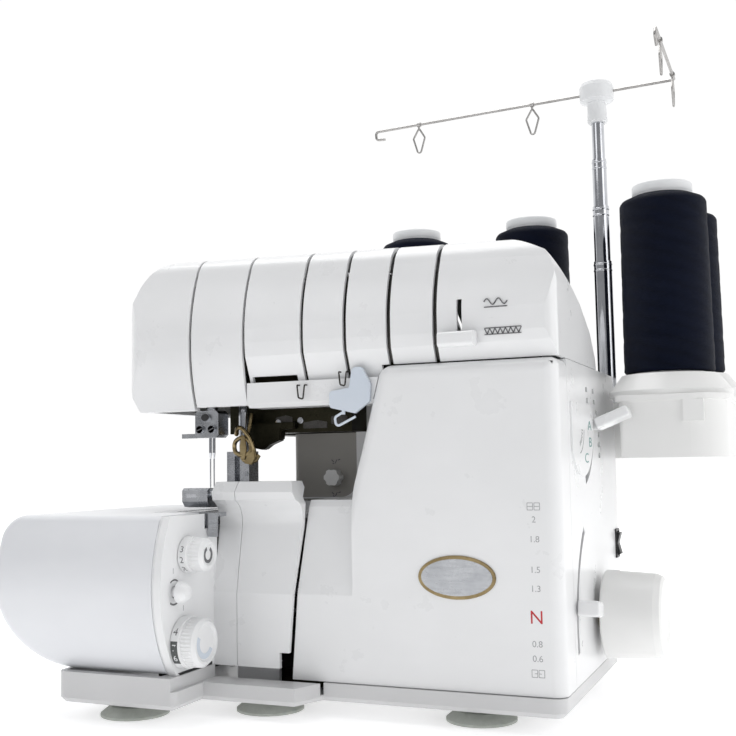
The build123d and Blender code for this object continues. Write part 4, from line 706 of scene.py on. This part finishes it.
slab("guide_leaf_low", [(0, 0), (5.5, -1.0), (8.2, 3.2), (7.4, 8.6), (2.6, 6.2)], at(-217.6, 24.5, 152.6),
     RIGHT, UP, 1.1, BRONZE,
     "machine")
slab("chin_bracket", [(0, 0), (8, 0), (8, 9), (0, 9)], at(-233.0, 47.0, 176.5), RIGHT, UP, 6.0, CASTING,
     "machine")
for n, (x, z, r) in enumerate(((-226.4, 182.5, 1.7), (-226.2, 178.0, 1.4), (-205, 180, 2.2),
                               (-188, 181, 2.2))):
    slab(f"chin_screw_{n}", oval(r, r, 20), at(x, 45.5 if n < 2 else 49.2, z), RIGHT, UP, 2.0, CHROME,
         "machine", edge=0.3)
for n, (x, y0, z, w, h) in enumerate(((-207, 49.6, 183.5, 13, 5), (-186, 49.6, 179.5, 18, 4),
                                      (-165, 49.6, 183, 12, 5))):
    slab(f"chin_boss_{n}", [(0, 0), (w, 0), (w, h), (w * 0.6, h + 1.5), (0, h)], at(x, y0, z - h), RIGHT,
         UP, 1.6, DARK_STEEL, "machine")
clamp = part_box("needle_clamp")
eye = Vector((at(-240, 0, 0).x, clamp[0][1] + 0.0019, at(0, 0, 183.5).z))
# black disc on the needle clamp: painted shade for the inside of its hole
slab("clamp_hole_painted_shade", oval(2.9, 2.4, 24), eye - BACK * 2.3 * MM, RIGHT, UP, 0.6, BLACK, "needle_carrier",
     edge=0.1)
for n, x in enumerate((-244.5, -235.5)):
    cap = Vector((at(x, 0, 0).x, clamp[0][1], at(0, 0, 175.5).z))
    slab(f"clamp_screw_{n}", oval(2.7, 2.7, 24), cap, RIGHT, UP, 0.5, CHROME, "needle_carrier", edge=0.2)
    # dark stroke across each screw head: painted shade for the screw's slot
    strokes(f"clamp_slot_painted_shade_{n}", [((-1.9, -0.8), (1.9, 0.8))], 0.6, (cap, RIGHT, UP), INK, "needle_carrier",
            lift=0.06)
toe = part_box("presser_foot")
slab("toe_slot", [(0, 0), (7.6, 0.2), (7.6, 2.4), (0, 2.6)],
     Vector((toe[0][0] + 3.2 * MM, toe[0][1] - 0.05 * MM, toe[0][2] + 6.4 * MM)),
     RIGHT, UP, 0.5, CHROME, "presser", edge=0.15)
slab("ankle_screw", oval(1.9, 1.9, 20), at(-219.6, 29.6, 146), RIGHT, UP, 1.6, CHROME, "presser", edge=0.3)
slab("ankle_screw_low", oval(1.6, 1.6, 20), at(-219.6, 29.6, 134), RIGHT, UP, 1.6, CHROME, "presser",
     edge=0.3)

slab("chin_block", [(-222, 163), (-214, 161.5), (-209, 165), (-201, 168), (-200, 175), (-190, 175.5),
                    (-190, 180), (-230, 180),
                    (-230, 172)], at(0, 44, 0), RIGHT, UP, 8.0, CASTING, "machine", edge=0.8)

# white frame round the pillar's grey panel
corner = [(-158 - 12 * (1 - math.cos(math.radians(a))),
           128.4 + 12 * (1 - math.sin(math.radians(a)))) for a in range(0, 91, 9)]
slab("pillar_frame", [(-136, 196), (-158, 196)] + corner + [(-205, 128.4), (-205, 127.4), (-136, 127.4)],
     at(0, 75.3, 0), RIGHT, UP,
     0.5, WHITE, "machine", edge=0.15)

# marks round the pressure knob
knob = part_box("pressure_knob")
knob_x, knob_z = (knob[0][0] + knob[1][0]) / 2, (knob[0][2] + knob[1][2]) / 2
wall = on_face("pillar_cover", (knob_x - 0.012, DATUM.y - 0.09, knob_z), BACK)
for n, z in enumerate((11.0, -11.5)):
    spot = Vector((knob_x, wall.y, knob_z + z * MM))
    marks = [((-3.4, 1.2), (-1.6, -0.4)), ((-0.6, -1.4), (0.8, 1.2)), ((1.6, 0.8), (3.4, 1.4)),
             ((-2.6, -1.2), (-1.2, -1.6))]
    strokes(f"knob_mark_{n}", marks, 0.7, (spot, RIGHT, UP), INK, "machine")

# crimped rings on the mast
for n in range(1, 4):
    lo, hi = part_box(f"mast_tube_{n}")
    centre = Vector(((lo[0] + hi[0]) / 2, (lo[1] + hi[1]) / 2, 0))
    radius = {1: 6.8, 2: 6.1, 3: 5.4}[n]
    top = hi[2] / MM
    for k, below in enumerate((2.4, 7.0)):
        ring = [(radius - 0.1, -0.9), (radius + 0.28, -0.5), (radius + 0.34, 0), (radius + 0.28, 0.5),
                (radius - 0.1, 0.9)]
        body = "machine" if n == 1 else f"mast_{n}"
        lathe(f"mast_crimp_{n}_{k}", [(r, top - below + z) for r, z in ring], centre, CHROME, body,
              steps=48)

# ------------------------------------------------------------------ studio
FLOOR_HALF_WIDTH = 4.0
FLOOR_GLOW = 0.42
SKY_BEHIND_CAMERA = (0.35, (0.31, 0.313, 0.32, 1))    # ramp position and colour, from front to back
SKY_BEHIND_MACHINE = (0.56, (1.0, 1.0, 1.0, 1))
SKY_STRENGTH = 1.02
LIGHT_AIM = (0, 0, 0.2)
LIGHTS = [                                            # name, place, size in metres, watts
    ("key_right", (1.6, -0.5, 0.9), (0.9, 1.2), 5),
    ("key_front", (-0.9, -1.6, 1.3), (1.0, 0.8), 3.2),
    ("top_soft", (-0.2, 0.3, 1.9), (1.6, 1.2), 17),
]
CAMERA_PLACE = (129.9, -584.9, 151.5)                 # fitted to the photo's straight edges
CAMERA_TURN = (22.85, 5.21, 0.96)                     # yaw, pitch and roll in degrees
CAMERA_SENSOR, CAMERA_LENS = 36.0, 50.93


def studio():
    scene = bpy.context.scene
    work = bmesh.new()
    bmesh.ops.create_grid(work, x_segments=24, y_segments=24, size=FLOOR_HALF_WIDTH)
    mesh = bpy.data.meshes.new("floor")
    work.to_mesh(mesh)
    work.free()
    floor = bpy.data.objects.new("floor", mesh)
    scene.collection.objects.link(floor)
    floor.location = (0, 0, LOADED[0][2])
    s = Shader("floor_paper", Specular_IOR_Level=0.2)
    s.colour(s.ramp(s.noise(3.0, 3.0), 0.3, 0.7, ((0.88, 0.88, 0.885), (0.92, 0.92, 0.92))))
    s.rough(s.spread(s.noise(8.0, 2.0), 0.3, 0.7, 0.6, 0.75))
    s.bump((s.noise(900.0, 3.0), 0.00005, 0.1))
    s.bsdf.inputs["Emission Color"].default_value = (1, 1, 1, 1)
    s.bsdf.inputs["Emission Strength"].default_value = FLOOR_GLOW
    mesh.materials.append(s.material)

    world = bpy.data.worlds.new("pale_studio")
    scene.world = world
    world.use_nodes = True
    tree = world.node_tree
    sky = tree.nodes["Background"]
    where = tree.nodes.new("ShaderNodeTexCoord").outputs["Generated"]
    split = tree.nodes.new("ShaderNodeSeparateXYZ")
    tree.links.new(where, split.inputs[0])
    wall = tree.nodes.new("ShaderNodeValToRGB")
    for stop, (position, colour) in zip(wall.color_ramp.elements, (SKY_BEHIND_CAMERA, SKY_BEHIND_MACHINE)):
        stop.position, stop.color = position, colour
    shift = tree.nodes.new("ShaderNodeMapRange")
    shift.inputs["From Min"].default_value, shift.inputs["From Max"].default_value = -1.0, 1.0
    tree.links.new(split.outputs[1], shift.inputs["Value"])
    tree.links.new(shift.outputs["Result"], wall.inputs["Fac"])
    tree.links.new(wall.outputs["Color"], sky.inputs["Color"])
    sky.inputs["Strength"].default_value = SKY_STRENGTH

    for name, place, size, power in LIGHTS:
        light = bpy.data.lights.new(name, "AREA")
        light.shape = "RECTANGLE"
        light.size, light.size_y = size
        light.energy = power
        obj = bpy.data.objects.new(name, light)
        obj.location = place
        obj.rotation_mode = "QUATERNION"
        obj.rotation_quaternion = (Vector(LIGHT_AIM) - Vector(place)).to_track_quat("-Z", "Y")
        scene.collection.objects.link(obj)

    camera = bpy.data.cameras.new("camera")
    camera.sensor_width, camera.lens = CAMERA_SENSOR, CAMERA_LENS
    camera.clip_start, camera.clip_end = 0.01, 20.0
    yaw, pitch, roll = (math.radians(v) for v in CAMERA_TURN)
    ahead = Vector((-math.sin(yaw) * math.cos(pitch), math.cos(yaw) * math.cos(pitch), math.sin(pitch)))
    across = Vector((math.cos(yaw), math.sin(yaw), 0))
    above = across.cross(ahead)
    right = across * math.cos(roll) - above * math.sin(roll)
    up = across * math.sin(roll) + above * math.cos(roll)
    place = at(*CAMERA_PLACE)
    obj = bpy.data.objects.new("camera", camera)
    obj.matrix_world = Matrix((
        (right.x, up.x, -ahead.x, place.x),
        (right.y, up.y, -ahead.y, place.y),
        (right.z, up.z, -ahead.z, place.z),
        (0, 0, 0, 1),
    ))
    scene.collection.objects.link(obj)
    scene.camera = obj
    scene.view_settings.view_transform = "Standard"


studio()
bpy.context.view_layer.update()
